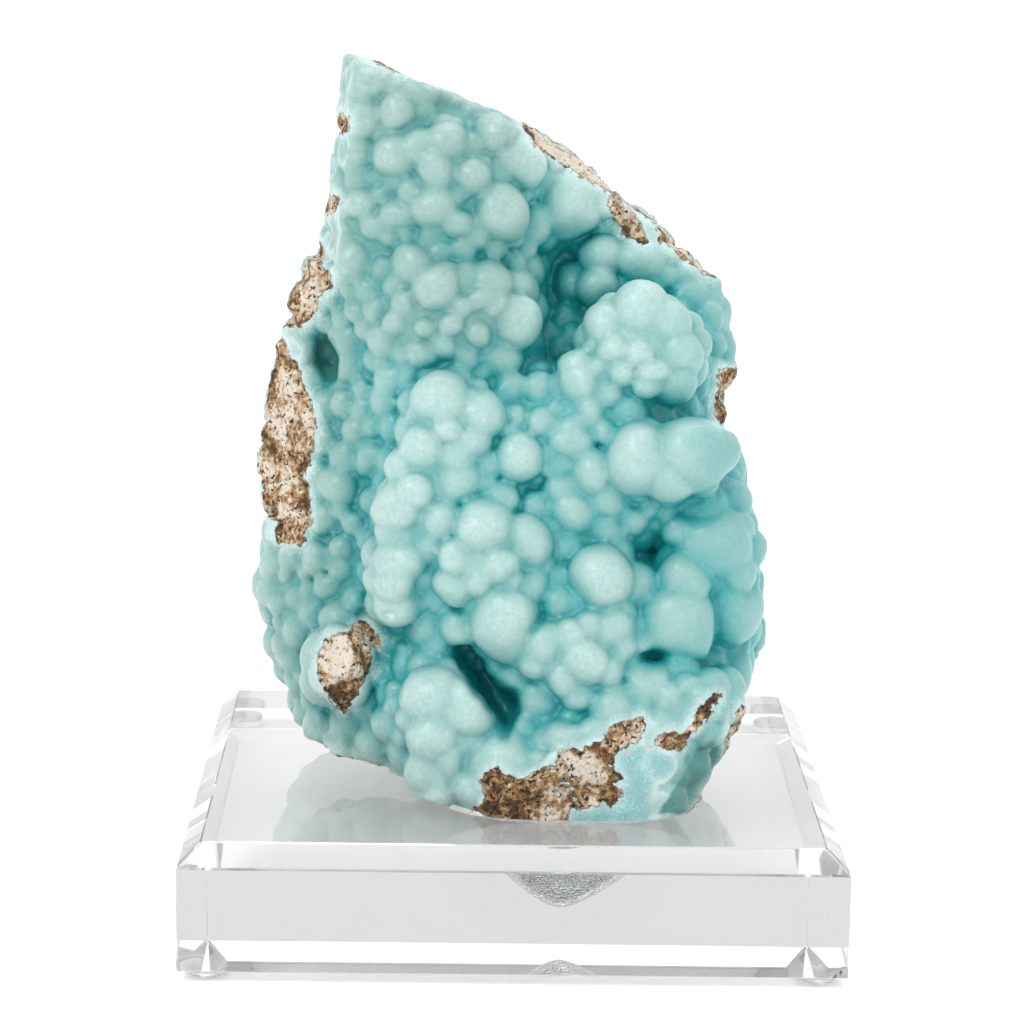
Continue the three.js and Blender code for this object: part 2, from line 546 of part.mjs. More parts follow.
const footX = BASE_WIDTH / 2 - FOOT_EDGE - FOOT_DIAMETER / 2;
const footY = BASE_DEPTH / 2 - FOOT_EDGE - FOOT_DIAMETER / 2;
for (const [end, y] of [['front', -footY], ['back', footY]]) {
  for (const [side, x] of [['left', -footX], ['right', footX]]) {
    const foot = new THREE.Mesh(
      bumperFoot(),
      new THREE.MeshStandardMaterial({ color: 0xeef0f0, roughness: 0.25, metalness: 0 }),
    );
    foot.name = `bumper_foot_${end}_${side}`;
    foot.position.set(x, y, 0);
    group.add(foot);
  }
}

export default group;
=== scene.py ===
"""A hemimorphite specimen standing in the ground recess of a clear acrylic display base.

The stone is worked out as a field on a grid of points, below zero inside it. Large forms are
blended, heads of crust are seated on them, rock is broken away, and the foot is ground to the
The field is then skinned, and each point of the skin is painted from what the field says of it:
how open it lies, how deep below the grown crust, how far inside a bare place. The crust's colour
carries painted light on its crowns and painted shade in its hollows and clefts.
The acrylic block is a square profile lofted into the recess, and the bumpers are turned.

Sizes are in millimetres until a mesh is made, which is in metres.
"""

import logging
import math
from dataclasses import dataclass
from enum import Enum
from typing import Any, Callable

import bpy
import numpy as np
from mathutils import Matrix, Vector


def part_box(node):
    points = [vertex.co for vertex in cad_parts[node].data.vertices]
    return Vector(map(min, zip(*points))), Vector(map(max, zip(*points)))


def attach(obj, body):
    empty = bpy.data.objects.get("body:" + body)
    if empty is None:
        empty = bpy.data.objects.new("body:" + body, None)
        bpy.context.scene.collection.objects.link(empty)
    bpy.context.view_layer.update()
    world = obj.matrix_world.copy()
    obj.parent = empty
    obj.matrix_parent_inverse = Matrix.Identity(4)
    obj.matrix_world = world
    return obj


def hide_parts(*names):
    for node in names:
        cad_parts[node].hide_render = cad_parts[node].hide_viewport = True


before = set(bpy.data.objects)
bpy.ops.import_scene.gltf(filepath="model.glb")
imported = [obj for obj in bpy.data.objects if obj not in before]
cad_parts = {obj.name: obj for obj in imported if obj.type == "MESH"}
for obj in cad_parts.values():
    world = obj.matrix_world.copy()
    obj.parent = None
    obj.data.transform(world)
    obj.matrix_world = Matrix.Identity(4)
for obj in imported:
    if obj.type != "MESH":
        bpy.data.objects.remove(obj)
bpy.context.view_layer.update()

log = logging.getLogger("specimen")

Vec2 = tuple[float, float]
Vec3 = tuple[float, float, float]
Layers = tuple[Vec2, ...]
Array = np.ndarray
Socket = bpy.types.NodeSocket

METRE = 1000.0
FRAMED_PIXELS = 1024
SENSOR = 36.0


# ---------------------------------------------------------------- small helpers

def linear(code: str) -> tuple[float, float, float, float]:
    """Turn a colour code such as "#c9e6e3" into linear red, green, blue and alpha.

    Args:
        code: Two hexadecimal digits each for red, green and blue, after a hash.

    Returns:
        The colour in linear light, with an alpha of 1.
    """
    parts = [int(code[i:i + 2], 16) / 255 for i in (1, 3, 5)]
    red, green, blue = (c / 12.92 if c <= 0.04045 else ((c + 0.055) / 1.055) ** 2.4 for c in parts)
    return red, green, blue, 1.0


def unit(vector: Any) -> Array:
    """The vector, or each row of it, at length one."""
    vector = np.asarray(vector, float)
    return vector / (np.linalg.norm(vector, axis=-1, keepdims=True) + 1e-12)


def smoothstep(value: Array, low: float, high: float) -> Array:
    """Rise from 0 at low to 1 at high along 3t^2 - 2t^3."""
    t = np.clip((value - low) / (high - low), 0, 1)
    return t * t * (3 - 2 * t)


def blend_union(a: Array, b: Array, width: float) -> Array:
    """The smaller of two fields, rounded over where they differ by less than the width."""
    near = np.maximum(width - np.abs(a - b), 0) / width
    return np.minimum(a, b) - near * near * width * 0.25


def add_piece(name: str, points: Array, faces: Array, slot: str, node: str) -> bpy.types.Object:
    """Make a mesh object that stands for a node of the frame.

    Args:
        name: The new object's name.
        points: Vertices in millimetres, one row each.
        faces: Vertex numbers, one row a face; in a row of four, a repeated last number makes
            a triangle.
        slot: The record's material slot. It is not used.
        node: The frame's node that the piece stands for.

    Returns:
        The object, riding on the root body.
    """
    rows = [tuple(row[:3]) if len(row) == 4 and row[3] == row[2] else tuple(row) for row in faces.tolist()]
    mesh = bpy.data.meshes.new(name)
    mesh.from_pydata((points / METRE).tolist(), [], rows)
    mesh.polygons.foreach_set("use_smooth", np.ones(len(mesh.polygons), bool))
    mesh.update()
    piece = bpy.data.objects.new(name, mesh)
    bpy.context.scene.collection.objects.link(piece)
    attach(piece, "root")
    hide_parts(node)
    log.info("%s: %d faces", name, len(mesh.polygons))
    return piece


def lofted(rings: Array, middles: Any) -> tuple[Array, Array]:
    """A closed solid: a band between each two rings of points, and a fan over each end.

    Args:
        rings: Points shaped ring, place, axis.
        middles: The middle point of the first ring's fan and of the last's.

    Returns:
        The points, and the faces: the bands ring by ring, then the two fans.
    """
    count, around, _ = rings.shape
    number = np.arange(count * around).reshape(count, around)
    ahead = np.roll(number, -1, axis=1)
    bands = np.stack([number[:-1], ahead[:-1], ahead[1:], number[1:]], -1).reshape(-1, 4)
    start, end = np.full(around, count * around), np.full(around, count * around + 1)
    first = np.stack([ahead[0], number[0], start, start], -1)
    last = np.stack([number[-1], ahead[-1], end, end], -1)
    return np.concatenate([rings.reshape(-1, 3), middles]), np.concatenate([bands, first, last])


# ---------------------------------------------------------------- materials

class Value:
    """An output socket of a material's tree, which sums can be written with."""

    def __init__(self, tree: "Tree", socket: Socket) -> None:
        """Stand for a socket of the tree."""
        self.tree = tree
        self.socket = socket

    def __add__(self, other: Any) -> "Value":
        """This and the other together."""
        return self.tree.math("ADD", self, other)

    def __sub__(self, other: Any) -> "Value":
        """This less the other."""
        return self.tree.math("SUBTRACT", self, other)

    def __rsub__(self, other: float) -> "Value":
        """A number less this."""
        return self.tree.math("SUBTRACT", other, self)

    def __mul__(self, other: Any) -> "Value":
        """This times the other."""
        return self.tree.math("MULTIPLY", self, other)


class Tree:
    """A material's node tree, built by calls that return values."""

    def __init__(self, name: str) -> None:
        """Start an empty material of that name.

        Args:
            name: The new material's name.
        """
        self.material = bpy.data.materials.new(name)
        self.material.use_nodes = True
        self.nodes = self.material.node_tree.nodes
        self.links = self.material.node_tree.links
        self.nodes.clear()
        self.place = self.value("ShaderNodeTexCoord", "Object")

    def add(self, kind: str, inputs: dict[Any, Any] | None = None, **settings: Any) -> bpy.types.Node:
        """Add a node.

        Args:
            kind: The node's type name.
            inputs: A value, a number or a colour code for each input, by name or number.
            settings: The node's own settings.

        Returns:
            The node.
        """
        node = self.nodes.new(kind)
        for key, setting in settings.items():
            setattr(node, key, setting)
        for key, given in (inputs or {}).items():
            if isinstance(given, Value):
                self.links.new(given.socket, node.inputs[key])
            else:
                node.inputs[key].default_value = linear(given) if isinstance(given, str) else given
        return node

    def value(self, kind: str, output: Any, inputs: dict[Any, Any] | None = None, **settings: Any) -> Value:
        """One output of a new node, by name or number."""
        return Value(self, self.add(kind, inputs, **settings).outputs[output])

    def read(self, name: str, output: str = "Fac") -> Value:
        """The piece's own painted attribute of that name."""
        return self.value("ShaderNodeAttribute", output, attribute_name=name)

    def parts(self) -> list[Value]:
        """The place's x, y and z, in metres."""
        node = self.add("ShaderNodeSeparateXYZ", {"Vector": self.place})
        return [Value(self, socket) for socket in node.outputs]

    def noise(self, size: float, detail: float = 2.0, place: Value | None = None) -> Value:
        """Cloudy noise whose lumps are about size mm across, around 0.5."""
        inputs = {"Vector": place or self.place, "Scale": METRE / size, "Detail": detail}
        return self.value("ShaderNodeTexNoise", "Fac", inputs)

    def uneven(self, size: float, detail: float, carry: float) -> Value:
        """Cloudy noise around 0, as strong as it carries."""
        return (self.noise(size, detail) - 0.5) * carry

    def cells(self, size: float, output: str = "Distance") -> Value:
        """Cells about size mm across: the distance from each cell's middle, or its own colour."""
        return self.value("ShaderNodeTexVoronoi", output, {"Vector": self.place, "Scale": METRE / size})

    def math(self, operation: str, a: Any, b: Any) -> Value:
        """One sum on numbers or values."""
        return self.value("ShaderNodeMath", 0, {0: a, 1: b}, operation=operation)

    def step(self, value: Value, low: float, high: float) -> Value:
        """Rise smoothly from 0 where the value is low to 1 where it is high."""
        inputs = {"Value": value, "From Min": low, "From Max": high}
        return self.value("ShaderNodeMapRange", "Result", inputs, interpolation_type="SMOOTHSTEP")

    def mix(self, factor: Value, a: Any, b: Any, blend: str = "MIX") -> Value:
        """Mix two colours."""
        inputs = {0: factor, 6: a, 7: b}
        return self.value("ShaderNodeMix", 2, inputs, data_type="RGBA", blend_type=blend, clamp_factor=True)

    def ramp(self, factor: Value, stops: tuple[tuple[float, str], ...]) -> Value:
        """Colours along a value, as (place, colour code).

        Args:
            factor: Where the ramp is read, from 0 to 1.
            stops: The ramp's places and colour codes, in order.

        Returns:
            The colour.
        """
        node = self.add("ShaderNodeValToRGB", {"Fac": factor})
        elements = node.color_ramp.elements
        while len(elements) < len(stops):
            elements.new(0.5)
        for element, (place, code) in zip(elements, stops):
            element.position = place
            element.color = linear(code)
        return Value(self, node.outputs["Color"])

    def bump(self, height: Value, distance: float, strength: float, under: Value | None = None) -> Value:
        """Relief of a height field, distance mm deep, over an earlier relief.

        Args:
            height: The height, from 0 to 1.
            distance: How deep the relief goes, in mm.
            strength: How much of it shows.
            under: An earlier relief, if there is one.

        Returns:
            The normal.
        """
        inputs = {"Height": height, "Distance": distance / METRE, "Strength": strength}
        if under is not None:
            inputs["Normal"] = under
        return self.value("ShaderNodeBump", "Normal", inputs)

    def finish(self, inputs: dict[str, Any], inside: bpy.types.Node | None = None) -> bpy.types.Material:
        """Send a principled shader to the surface, and what fills the piece to the volume.

        Args:
            inputs: The shader's inputs, by name.
            inside: The volume's node, if the piece has one.

        Returns:
            The material.
        """
        shader = self.value("ShaderNodeBsdfPrincipled", 0, inputs)
        output = self.add("ShaderNodeOutputMaterial", {"Surface": shader})
        if inside is not None:
            self.links.new(inside.outputs[0], output.inputs["Volume"])
        return self.material


@dataclass(frozen=True)
class HemimorphiteFinish:
    """Waxy crust, fresh fibrous breaks and speckled matrix, told apart by the painted fields. The crust's
    colour also carries painted light on its crowns and painted shade in its hollows.
    """

    # The crust's colours, from the painted shade of its deepest hollows to the painted light of its crowns.
    crust_shade_to_light: tuple[tuple[float, str], ...] = (
        (0.0, "#138d90"), (0.22, "#4fa2a3"), (0.45, "#7baba8"), (0.68, "#9cbcb8"), (0.95, "#cfd9d6"),
    )
    greyed: str = "#d3dad5"
    fresh_pale: str = "#c3d8d6"
    fresh_mid: str = "#84bcbd"
    fresh_grey: str = "#a0b0ae"
    # The smooth hollows' own teal with their shade painted in: painted shade.
    pocket: str = "#3f807b"
    rock: tuple[tuple[float, str], ...] = (
        (0.0, "#4f3a27"), (0.25, "#775635"), (0.5, "#9f7a4e"), (0.72, "#bd9f7a"), (1.0, "#e0d6c6"),
    )
    cream: str = "#dccdc2"
    specks: str = "#1b1410"
    crust_roughness: float = 0.46
    matrix_roughness: float = 0.88
    sugar: float = 0.42
    fibre: float = 0.5
    shine_through: float = 0.25

    # How far along its colours each thing carries the grown crust. The crease, knob and swelling
    # tones are painted light on what stands out; the hollow, right and cleft tones are painted shade.
    middle_tone: float = 0.325
    crease_shade_tone: float = 0.15
    knob_light_tone: float = 0.05
    swelling_light_tone: float = 0.085
    hollow_shade_tone: float = 0.3
    right_shade_tone: float = 0.26
    cleft_shade_tone: float = 0.05
    grain_tone: float = 0.05

    # Unevenness, as the lumps' size in mm, their detail and how far they carry.
    mottled: Vec3 = (1.6, 3.0, 0.14)
    speckled: Vec3 = (0.9, 5.0, 0.22)
    ragged: Vec3 = (1.4, 5.0, 3.4)
    blotched: Vec3 = (5.5, 3.0, 3.0)

    # Over which values a tone comes in, from where it starts to where it is whole.
    creased: Vec2 = (-1.0, 0.6)
    cleft: Vec2 = (0.6, 0.1)
    sunken: Vec2 = (1.6, 3.6)
    veined: Vec2 = (0.56, 0.7)
    streaked: Vec2 = (0.45, 0.75)

    # Where a tone comes in, as the x or z in metres at which it starts and is whole.
    sheet_above: Vec2 = (0.104, 0.12)
    sheet_left_of: Vec2 = (0.006, -0.004)
    flank_left_of: Vec2 = (-0.022, -0.036)
    # Painted shade over the crust's right side, which faces away from the key light.
    shaded_right_of: Vec2 = (0.024, 0.042)
    pale_above: Vec2 = (0.03, 0.06)
    specked_below: Vec2 = (0.06, 0.04)

    def grown(self, tree: Tree, grain: Value) -> Value:
        """The grown crust's colour, with painted light and shade: paler the more a point stands out
        and the more sky it has, darker in creases, clefts and hollows and towards the right.

        Args:
            tree: The material's tree.
            grain: The distance from the middle of each sugary grain.

        Returns:
            The colour.
        """
        knob = tree.read("knob")
        # Painted light where the crust stands out, painted shade in creases, clefts, hollows and towards
        # the right, with random mottling and grain on top.
        tone = (
            tree.step(knob, *self.creased) * self.crease_shade_tone + self.middle_tone
            + knob * self.knob_light_tone + tree.read("swelling") * self.swelling_light_tone
            - (1.0 - tree.read("sky")) * self.hollow_shade_tone
            - tree.step(tree.parts()[0], *self.shaded_right_of) * self.right_shade_tone
            - tree.step(tree.read("openness"), *self.cleft) * self.cleft_shade_tone
            + tree.uneven(*self.mottled)
            + (grain - 0.4) * self.grain_tone
            + tree.uneven(*self.speckled)
        )
        return tree.ramp(tone, self.crust_shade_to_light)

    def broken(self, tree: Tree, depth: Value, cloud: Value, streak: Value) -> Value:
        """The fresh break's colour: pale near the skin and in streaks, deeper further in.

        Args:
            tree: The material's tree.
            depth: How far below the grown crust the place lies, in mm.
            cloud: Wide clouds.
            streak: Clouds drawn out along the fibres.

        Returns:
            The colour.
        """
        sunken = tree.step(depth + cloud * 3.0, *self.sunken)
        tone = tree.mix(sunken, self.fresh_pale, self.fresh_mid)
        veins = tree.noise(5.0, 2.0, tree.read("root", "Vector"))
        tone = tree.mix(tree.step(veins, *self.veined), tone, self.fresh_grey)
        return tree.mix(tree.step(streak, *self.streaked) * 0.7, tone, self.fresh_pale)

    def greyness(self, tree: Tree, cloud: Value) -> Value:
        """How greyed the crust is: on the tall sheet and along the left flank, in clouds.

        Args:
            tree: The material's tree.
            cloud: Wide clouds.

        Returns:
            From 0, where the crust keeps its colour, up to about 1.
        """
        across, _, height = tree.parts()
        sheet = tree.step(height, *self.sheet_above) * tree.step(across, *self.sheet_left_of)
        return tree.math("MAXIMUM", sheet, tree.step(across, *self.flank_left_of)) * (cloud * 0.7 + 0.3)

    def matrix(self, tree: Tree, crumb: Value, ragged: Value) -> tuple[Value, Value]:
        """The matrix: brown, paler in stretches, dusted with cream, and dotted with dark specks.

        Args:
            tree: The material's tree.
            crumb: The crumbs' height.
            ragged: What frays the edge of a cream place, in mm.

        Returns:
            The colour, and 1 on a speck.
        """
        _, _, height = tree.parts()
        upper = tree.step(height, *self.pale_above)
        creamy = tree.step(tree.read("cream") + ragged * 0.5, -0.5, 0.5)
        tone = (crumb - 0.5) * 2.2 + tree.uneven(*self.blotched) + upper * 0.08 + creamy * 0.55
        colour = tree.ramp(tone + 0.51, self.rock)
        dusty = tree.step(tree.noise(0.5, 2.0) + upper * 0.06, 0.6, 0.68) * tree.step(tone, -0.4, 0.3)
        colour = tree.mix(dusty * 0.7, colour, self.cream)
        dots = tree.noise(0.85, 3.0) + tree.step(height, *self.specked_below) * 0.03 + creamy * -0.04
        specks = tree.step(dots, 0.6, 0.63)
        return tree.mix(specks * 0.9, colour, self.specks), specks

    def material(self) -> bpy.types.Material:
        """Build the stone's material.

        Returns:
            The material.
        """
        tree = Tree("hemimorphite_crust_and_matrix")
        depth, bare = tree.read("depth"), tree.read("bare")
        cloud = tree.noise(7.0, 3.0)
        crumb = tree.noise(1.1, 5.0)
        grain = tree.cells(self.sugar)
        streak = tree.noise(self.fibre, 2.0, tree.read("root", "Vector"))
        ragged = tree.uneven(*self.ragged)
        fresh = tree.step(depth + tree.noise(1.2, 3.0) * 0.4, 0.45, 0.9)
        fringe = tree.step(bare + (streak + cloud) * 3.0, 0.0, 3.2)
        # Where the pocket colour goes: painted shade over the smooth hollows.
        pocket = tree.step(tree.read("pocket") + ragged * 0.3, -0.4, 0.5)
        edge = tree.step(bare + ragged * 0.8, -0.6, -0.3)

        crust = tree.mix(fresh, self.grown(tree, grain), self.broken(tree, depth, cloud, streak))
        crust = tree.mix(self.greyness(tree, cloud), crust, self.greyed, "MULTIPLY")
        crust = tree.mix(pocket * 0.85, crust, self.pocket)
        crust = tree.mix(fringe * 0.8, crust, self.fresh_pale)
        matrix, specks = self.matrix(tree, crumb, ragged)

        relief = tree.bump(tree.noise(1.1, 2.0), 0.12, 0.5)
        relief = tree.bump(grain, 0.07, 0.35, relief)
        relief = tree.bump(streak * fresh, 0.35, 0.7, relief)
        relief = tree.bump((crumb - specks * 0.35) * edge, 1.8, 1.0, relief)

        glint = tree.math("GREATER_THAN", tree.cells(self.sugar * 0.8, "Color"), 0.93)
        waxy = self.crust_roughness - glint * 0.26
        glow = (1.0 - edge) * self.shine_through
        return tree.finish({
            "Base Color": tree.mix(edge, crust, matrix), "Normal": relief,
            "Roughness": waxy + (self.matrix_roughness - waxy) * edge,
            "Coat Weight": glow, "Coat Roughness": 0.2,
            "Subsurface Weight": glow, "Subsurface Radius": (0.6, 0.95, 0.95), "Subsurface Scale": 0.0014,
            "IOR": 1.5, "Specular IOR Level": 0.45,
        })


@dataclass(frozen=True)
class AcrylicFinish:
    """Clear cast acrylic, polished outside and ground in the recess."""

    refraction: float = 1.49
    chips: float = 0.6

    def material(self) -> bpy.types.Material:
        """Build the acrylic's material.

        It is clear where the ground field is 0, and frosted coarsely enough to sparkle where it
        is 1. Its faint grey only shows along a long way through it.

        Returns:
            The material.
        """
        tree = Tree("acrylic_clear_and_ground")
        ground = tree.read("ground")
        polish = tree.step(tree.noise(22.0, 3.0), 0.6, 0.8) * 0.01
        frost = 0.34 - tree.noise(2.5, 2.0) * 0.38
        relief = tree.bump(tree.noise(0.9, 2.0) * ground, 0.35, 0.9)
        relief = tree.bump(tree.cells(self.chips) * ground, 0.5, 1.0, relief)
        inside = tree.add("ShaderNodeVolumeAbsorption", {"Color": "#c8c8c4", "Density": 6.5})
        return tree.finish({
            "Base Color": "#fbfcfc", "Roughness": polish + frost * ground, "Normal": relief,
            "Transmission Weight": 1.0, "IOR": self.refraction,
        }, inside)


@dataclass(frozen=True)
class BumperFinish:
    """Clear soft bumpers, slightly cloudy."""

    refraction: float = 1.46

    def material(self) -> bpy.types.Material:
        """Build the bumpers' material.

        Returns:
            The material.
        """
        tree = Tree("bumper_clear")
        return tree.finish({
            "Base Color": "#f4f6f6", "Roughness": tree.noise(2.0, 2.0) * 0.12 + 0.08,
            "Normal": tree.bump(tree.noise(0.9, 2.0), 0.03, 0.3),
            "Transmission Weight": 0.92, "IOR": self.refraction,
        })


# ---------------------------------------------------------------- sizes shared by stone and base

@dataclass(frozen=True)
class Recess:
    """The bowl ground into the block for the stone's foot."""

    x: float = 11.5
    y: float = -23.5
    half_width: float = 25.5
    half_depth: float = 18.5
    floor: float = 7.5
    brim: float = 26.5
    pit_width: float = 0.52
    lean: float = -2.2
    pit_height: float = 0.45
    power: float = 3.0

    def reach(self, height: Array) -> Array:
        """How far the wall has opened out at each height, as a part of its reach at the brim.

        A tapering pit lies in the middle of a dish. With t rising from 0 on the floor to 1 at
        the brim and s the pit's height, the pit's wall is w (t/s)^0.7, and the dish adds
        (1 - w) sqrt((t - s) / (1 - s)) above it. The pit leans to one side as it goes down.

        Args:
            height: Heights in mm.

        Returns:
            The reach, from 0 on the floor to 1 at the brim.
        """
        t = np.clip((height - self.floor) / (self.brim - self.floor), 0, 1)
        pit = np.minimum(t / self.pit_height, 1) ** 0.7
        dish = np.sqrt(np.maximum(t - self.pit_height, 0) / (1 - self.pit_height))
        return self.pit_width * pit + (1 - self.pit_width) * dish

    def squareness(self, dx: Array, dy: Array) -> Array:
        """The superellipse norm (|dx|^p + |dy|^p)^(1/p) of places given in half sizes."""
        return (np.abs(dx) ** self.power + np.abs(dy) ** self.power) ** (1 / self.power)

    def outside(self, x: Array, y: Array, z: Array, margin: float) -> Array:
        """About how far each point lies outside the bowl shrunk by a margin.

        Args:
            x, y, z: Where the points are.
            margin: How much smaller than the recess the bowl is, in mm.

        Returns:
            The distances, below zero inside the bowl.
        """
        reach = self.reach(z)
        across = x - self.x - self.lean * (1 - reach)
        square = self.squareness(across / self.half_width, (y - self.y) / self.half_depth)
        wall = (square - reach) * self.half_depth + margin
        return np.maximum(wall, self.floor + margin - z)


@dataclass(frozen=True)
class Viewpoint:
    """Where the stone's front is laid out from: places are given on the upright plane y = 0.

    The eye is the camera's place, rounded.
    """

    eye: Vec3 = (-10.0, -728.0, 223.0)

    def to_plane(self, x: Array, y: Array, z: Array) -> tuple[Array, Array]:
        """Where the sight line through each point meets the plane, as x and z."""
        scale = -self.eye[1] / (y - self.eye[1])
        return self.eye[0] + (x - self.eye[0]) * scale, self.eye[2] + (z - self.eye[2]) * scale

    def along(self, x: Array, z: Array, y: Any) -> Array:
        """The points at depth y on the sight lines through the places x, z of the plane.

        Args:
            x, z: Places on the plane.
            y: The depth, one for all or one for each.

        Returns:
            The points, one row each.
        """
        scale = (y - self.eye[1]) / -self.eye[1]
        ahead = self.eye[0] + (x - self.eye[0]) * scale
        above = self.eye[2] + (z - self.eye[2]) * scale
        return np.stack([ahead, np.broadcast_to(y, ahead.shape), above], -1)

    def facing(self, points: Array, normals: Array) -> Array:
        """How squarely each normal faces the viewpoint, from -1 to 1."""
        return (unit(np.array(self.eye) - points) * normals).sum(-1)


# ---------------------------------------------------------------- fields on a grid

def distance_in(x: Array, z: Array, outline: Any) -> Array:
    """Distance inside a closed outline of the upright plane, below zero outside it.

    Args:
        x, z: The places.
        outline: The corners, as (x, z).

    Returns:
        The distance to the nearest side, below zero where a ray from the place crosses the outline
        an even number of times.
    """
    nearest = np.full(x.shape, 1e9)
    inside = np.zeros(x.shape, bool)
    corners = np.array(outline, float)
    for (ax, az), (bx, bz) in zip(corners, np.roll(corners, -1, axis=0)):
        ex, ez = bx - ax, bz - az
        t = np.clip(((x - ax) * ex + (z - az) * ez) / (ex * ex + ez * ez), 0, 1)
        nearest = np.minimum(nearest, np.hypot(x - ax - t * ex, z - az - t * ez))
        crossing = ((az > z) != (bz > z)) & (x < ax + (z - az) / (ez if ez else 1e-9) * ex)
        inside ^= crossing
    return np.where(inside, nearest, -nearest)


class PlaneTable:
    """Values kept at evenly spaced places of the upright plane, and read between them."""

    across: Vec2 = (-80, 80)
    up: Vec2 = (-10, 195)
    last: float = 1.01

    def __init__(self, step: float, measure: Callable[[Array, Array], Array]) -> None:
        """Measure every place.

        Args:
            step: The spacing.
            measure: What gives the values at places x and z.
        """
        self.step = step
        self.xs, self.zs = np.arange(*self.across, step), np.arange(*self.up, step)
        self.values = measure(*np.meshgrid(self.xs, self.zs, indexing="ij"))

    def read(self, x: Array, z: Array) -> Array:
        """Blend the four entries around each place.

        Args:
            x, z: The places.

        Returns:
            The value at each place.
        """
        a = np.clip((x - self.xs[0]) / self.step, 0, len(self.xs) - self.last)
        b = np.clip((z - self.zs[0]) / self.step, 0, len(self.zs) - self.last)
        i, j = a.astype(int), b.astype(int)
        a, b = a - i, b - j
        left = self.values[i, j] * (1 - b) + self.values[i, j + 1] * b
        right = self.values[i + 1, j] * (1 - b) + self.values[i + 1, j + 1] * b
        return left * (1 - a) + right * a


class Grid:
    """A box of evenly spaced points on which fields are kept."""

    margin: float = 4.0
    slope_reach: float = 0.6

    def __init__(self, low: Vec3, high: Vec3, step: float) -> None:
        """Lay out the points from the low corner to the high one.

        Args:
            low: The low corner.
            high: A corner that the points reach or pass.
            step: The spacing.
        """
        self.low = np.array(low, float)
        self.step = step
        self.count = np.ceil((np.array(high) - self.low) / step).astype(int) + 1
        self.axes = [(self.low[a] + step * np.arange(self.count[a])).astype(np.float32) for a in range(3)]

    def points(self) -> tuple[Array, Array, Array]:
        """The x, y and z of every grid point, shaped to broadcast."""
        return np.ix_(*self.axes)

    def around(self, centre: Array, reach: float) -> tuple[slice, slice, slice]:
        """The block of grid points within a reach of a centre.

        Args:
            centre: The block's middle.
            reach: How far it goes to each side, at least.

        Returns:
            The block, as one slice for each axis.
        """
        first = np.clip(np.floor((centre - reach - self.low) / self.step).astype(int), 0, self.count)
        last = np.clip(np.ceil((centre + reach - self.low) / self.step).astype(int) + 1, 0, self.count)
        return tuple(slice(a, b) for a, b in zip(first, last))

    def add_ball(self, value: Array, centre: Array, radius: float, width: float, bend: list[Array]) -> None:
        """Blend a ball into a field, each place read a little aside by the bend.

        Args:
            value: The field, which is changed up to a margin beyond the ball.
            centre: The ball's centre.
            radius: Its radius.
            width: The blend's width.
            bend: How far aside each place is read, along x, y and z.
        """
        block = self.around(centre, radius + self.margin)
        x, y, z = np.ix_(*(axis[s] - c for axis, s, c in zip(self.axes, block, centre)))
        square = (x + bend[0][block]) ** 2 + (y + bend[1][block]) ** 2 + (z + bend[2][block]) ** 2
        value[block] = blend_union(value[block], np.sqrt(square) - radius, width)

    def read(self, value: Array, points: Array) -> Array:
        """Read a field anywhere, blending the eight grid points around each place.

        Args:
            value: The field.
            points: The places, one row each.

        Returns:
            The value at each place.
        """
        place = np.clip((points - self.low) / self.step, 0, self.count - 1.001)
        cell = place.astype(np.int32)
        part = place - cell
        total = np.zeros(points.shape[:-1])
        for corner in np.ndindex(2, 2, 2):
            i, j, k = (cell[..., a] + corner[a] for a in range(3))
            share = np.prod([part[..., a] if corner[a] else 1 - part[..., a] for a in range(3)], axis=0)
            total += value[i, j, k] * share
        return total

    def slope(self, value: Array, points: Array) -> Array:
        """The direction in which a field rises, by differences over a part of a step each way.

        Args:
            value: The field.
            points: The places, one row each.

        Returns:
            Directions of length one, one row each.
        """
        ahead = np.eye(3) * self.step * self.slope_reach
        rise = [self.read(value, points + d) - self.read(value, points - d) for d in ahead]
        return unit(np.stack(rise, -1))

    def blurred(self, value: Array, width: float) -> Array:
        """A field's running means of a width along each axis, taken twice.

        Args:
            value: The field.
            width: The width of the means, in mm.

        Returns:
            The blurred field.
        """
        half = max(1, round(width / 2 / self.step))
        for axis in (0, 1, 2, 0, 1, 2):
            padding = [(half + 1, half) if a == axis else (0, 0) for a in range(3)]
            total = np.cumsum(np.pad(value, padding, mode="edge"), axis=axis, dtype=np.float64)
            size = value.shape[axis]
            last = np.take(total, range(2 * half + 1, 2 * half + 1 + size), axis)
            value = ((last - np.take(total, range(size), axis)) / (2 * half + 1)).astype(np.float32)
        return value

    def clouds(self, size: float, rng: np.random.Generator) -> Array:
        """Smooth random heights from -1 to 1, in lumps about size mm across.

        Random values on a coarse lattice are blended along each axis in turn with 3t^2 - 2t^3.

        Args:
            size: How large a lump is, in mm.
            rng: Where the draws come from.

        Returns:
            The heights at the grid's points.
        """
        weights = []
        for axis in self.axes:
            t = (axis - axis[0]) / size
            cell = np.floor(t).astype(int)
            ease = smoothstep(t - cell, 0, 1)
            weight = np.zeros((len(axis), cell[-1] + 2), np.float32)
            weight[np.arange(len(axis)), cell] = 1 - ease
            weight[np.arange(len(axis)), cell + 1] = ease
            weights.append(weight)
        lattice = rng.uniform(-1, 1, [w.shape[1] for w in weights]).astype(np.float32)
        return np.einsum("ai,bj,ck,ijk->abc", *weights, lattice, optimize=True)

    def layers(self, layers: Layers, rng: np.random.Generator) -> Array:
        """Clouds of several sizes on top of each other, given as (height, size)."""
        return sum(height * self.clouds(size, rng) for height, size in layers)


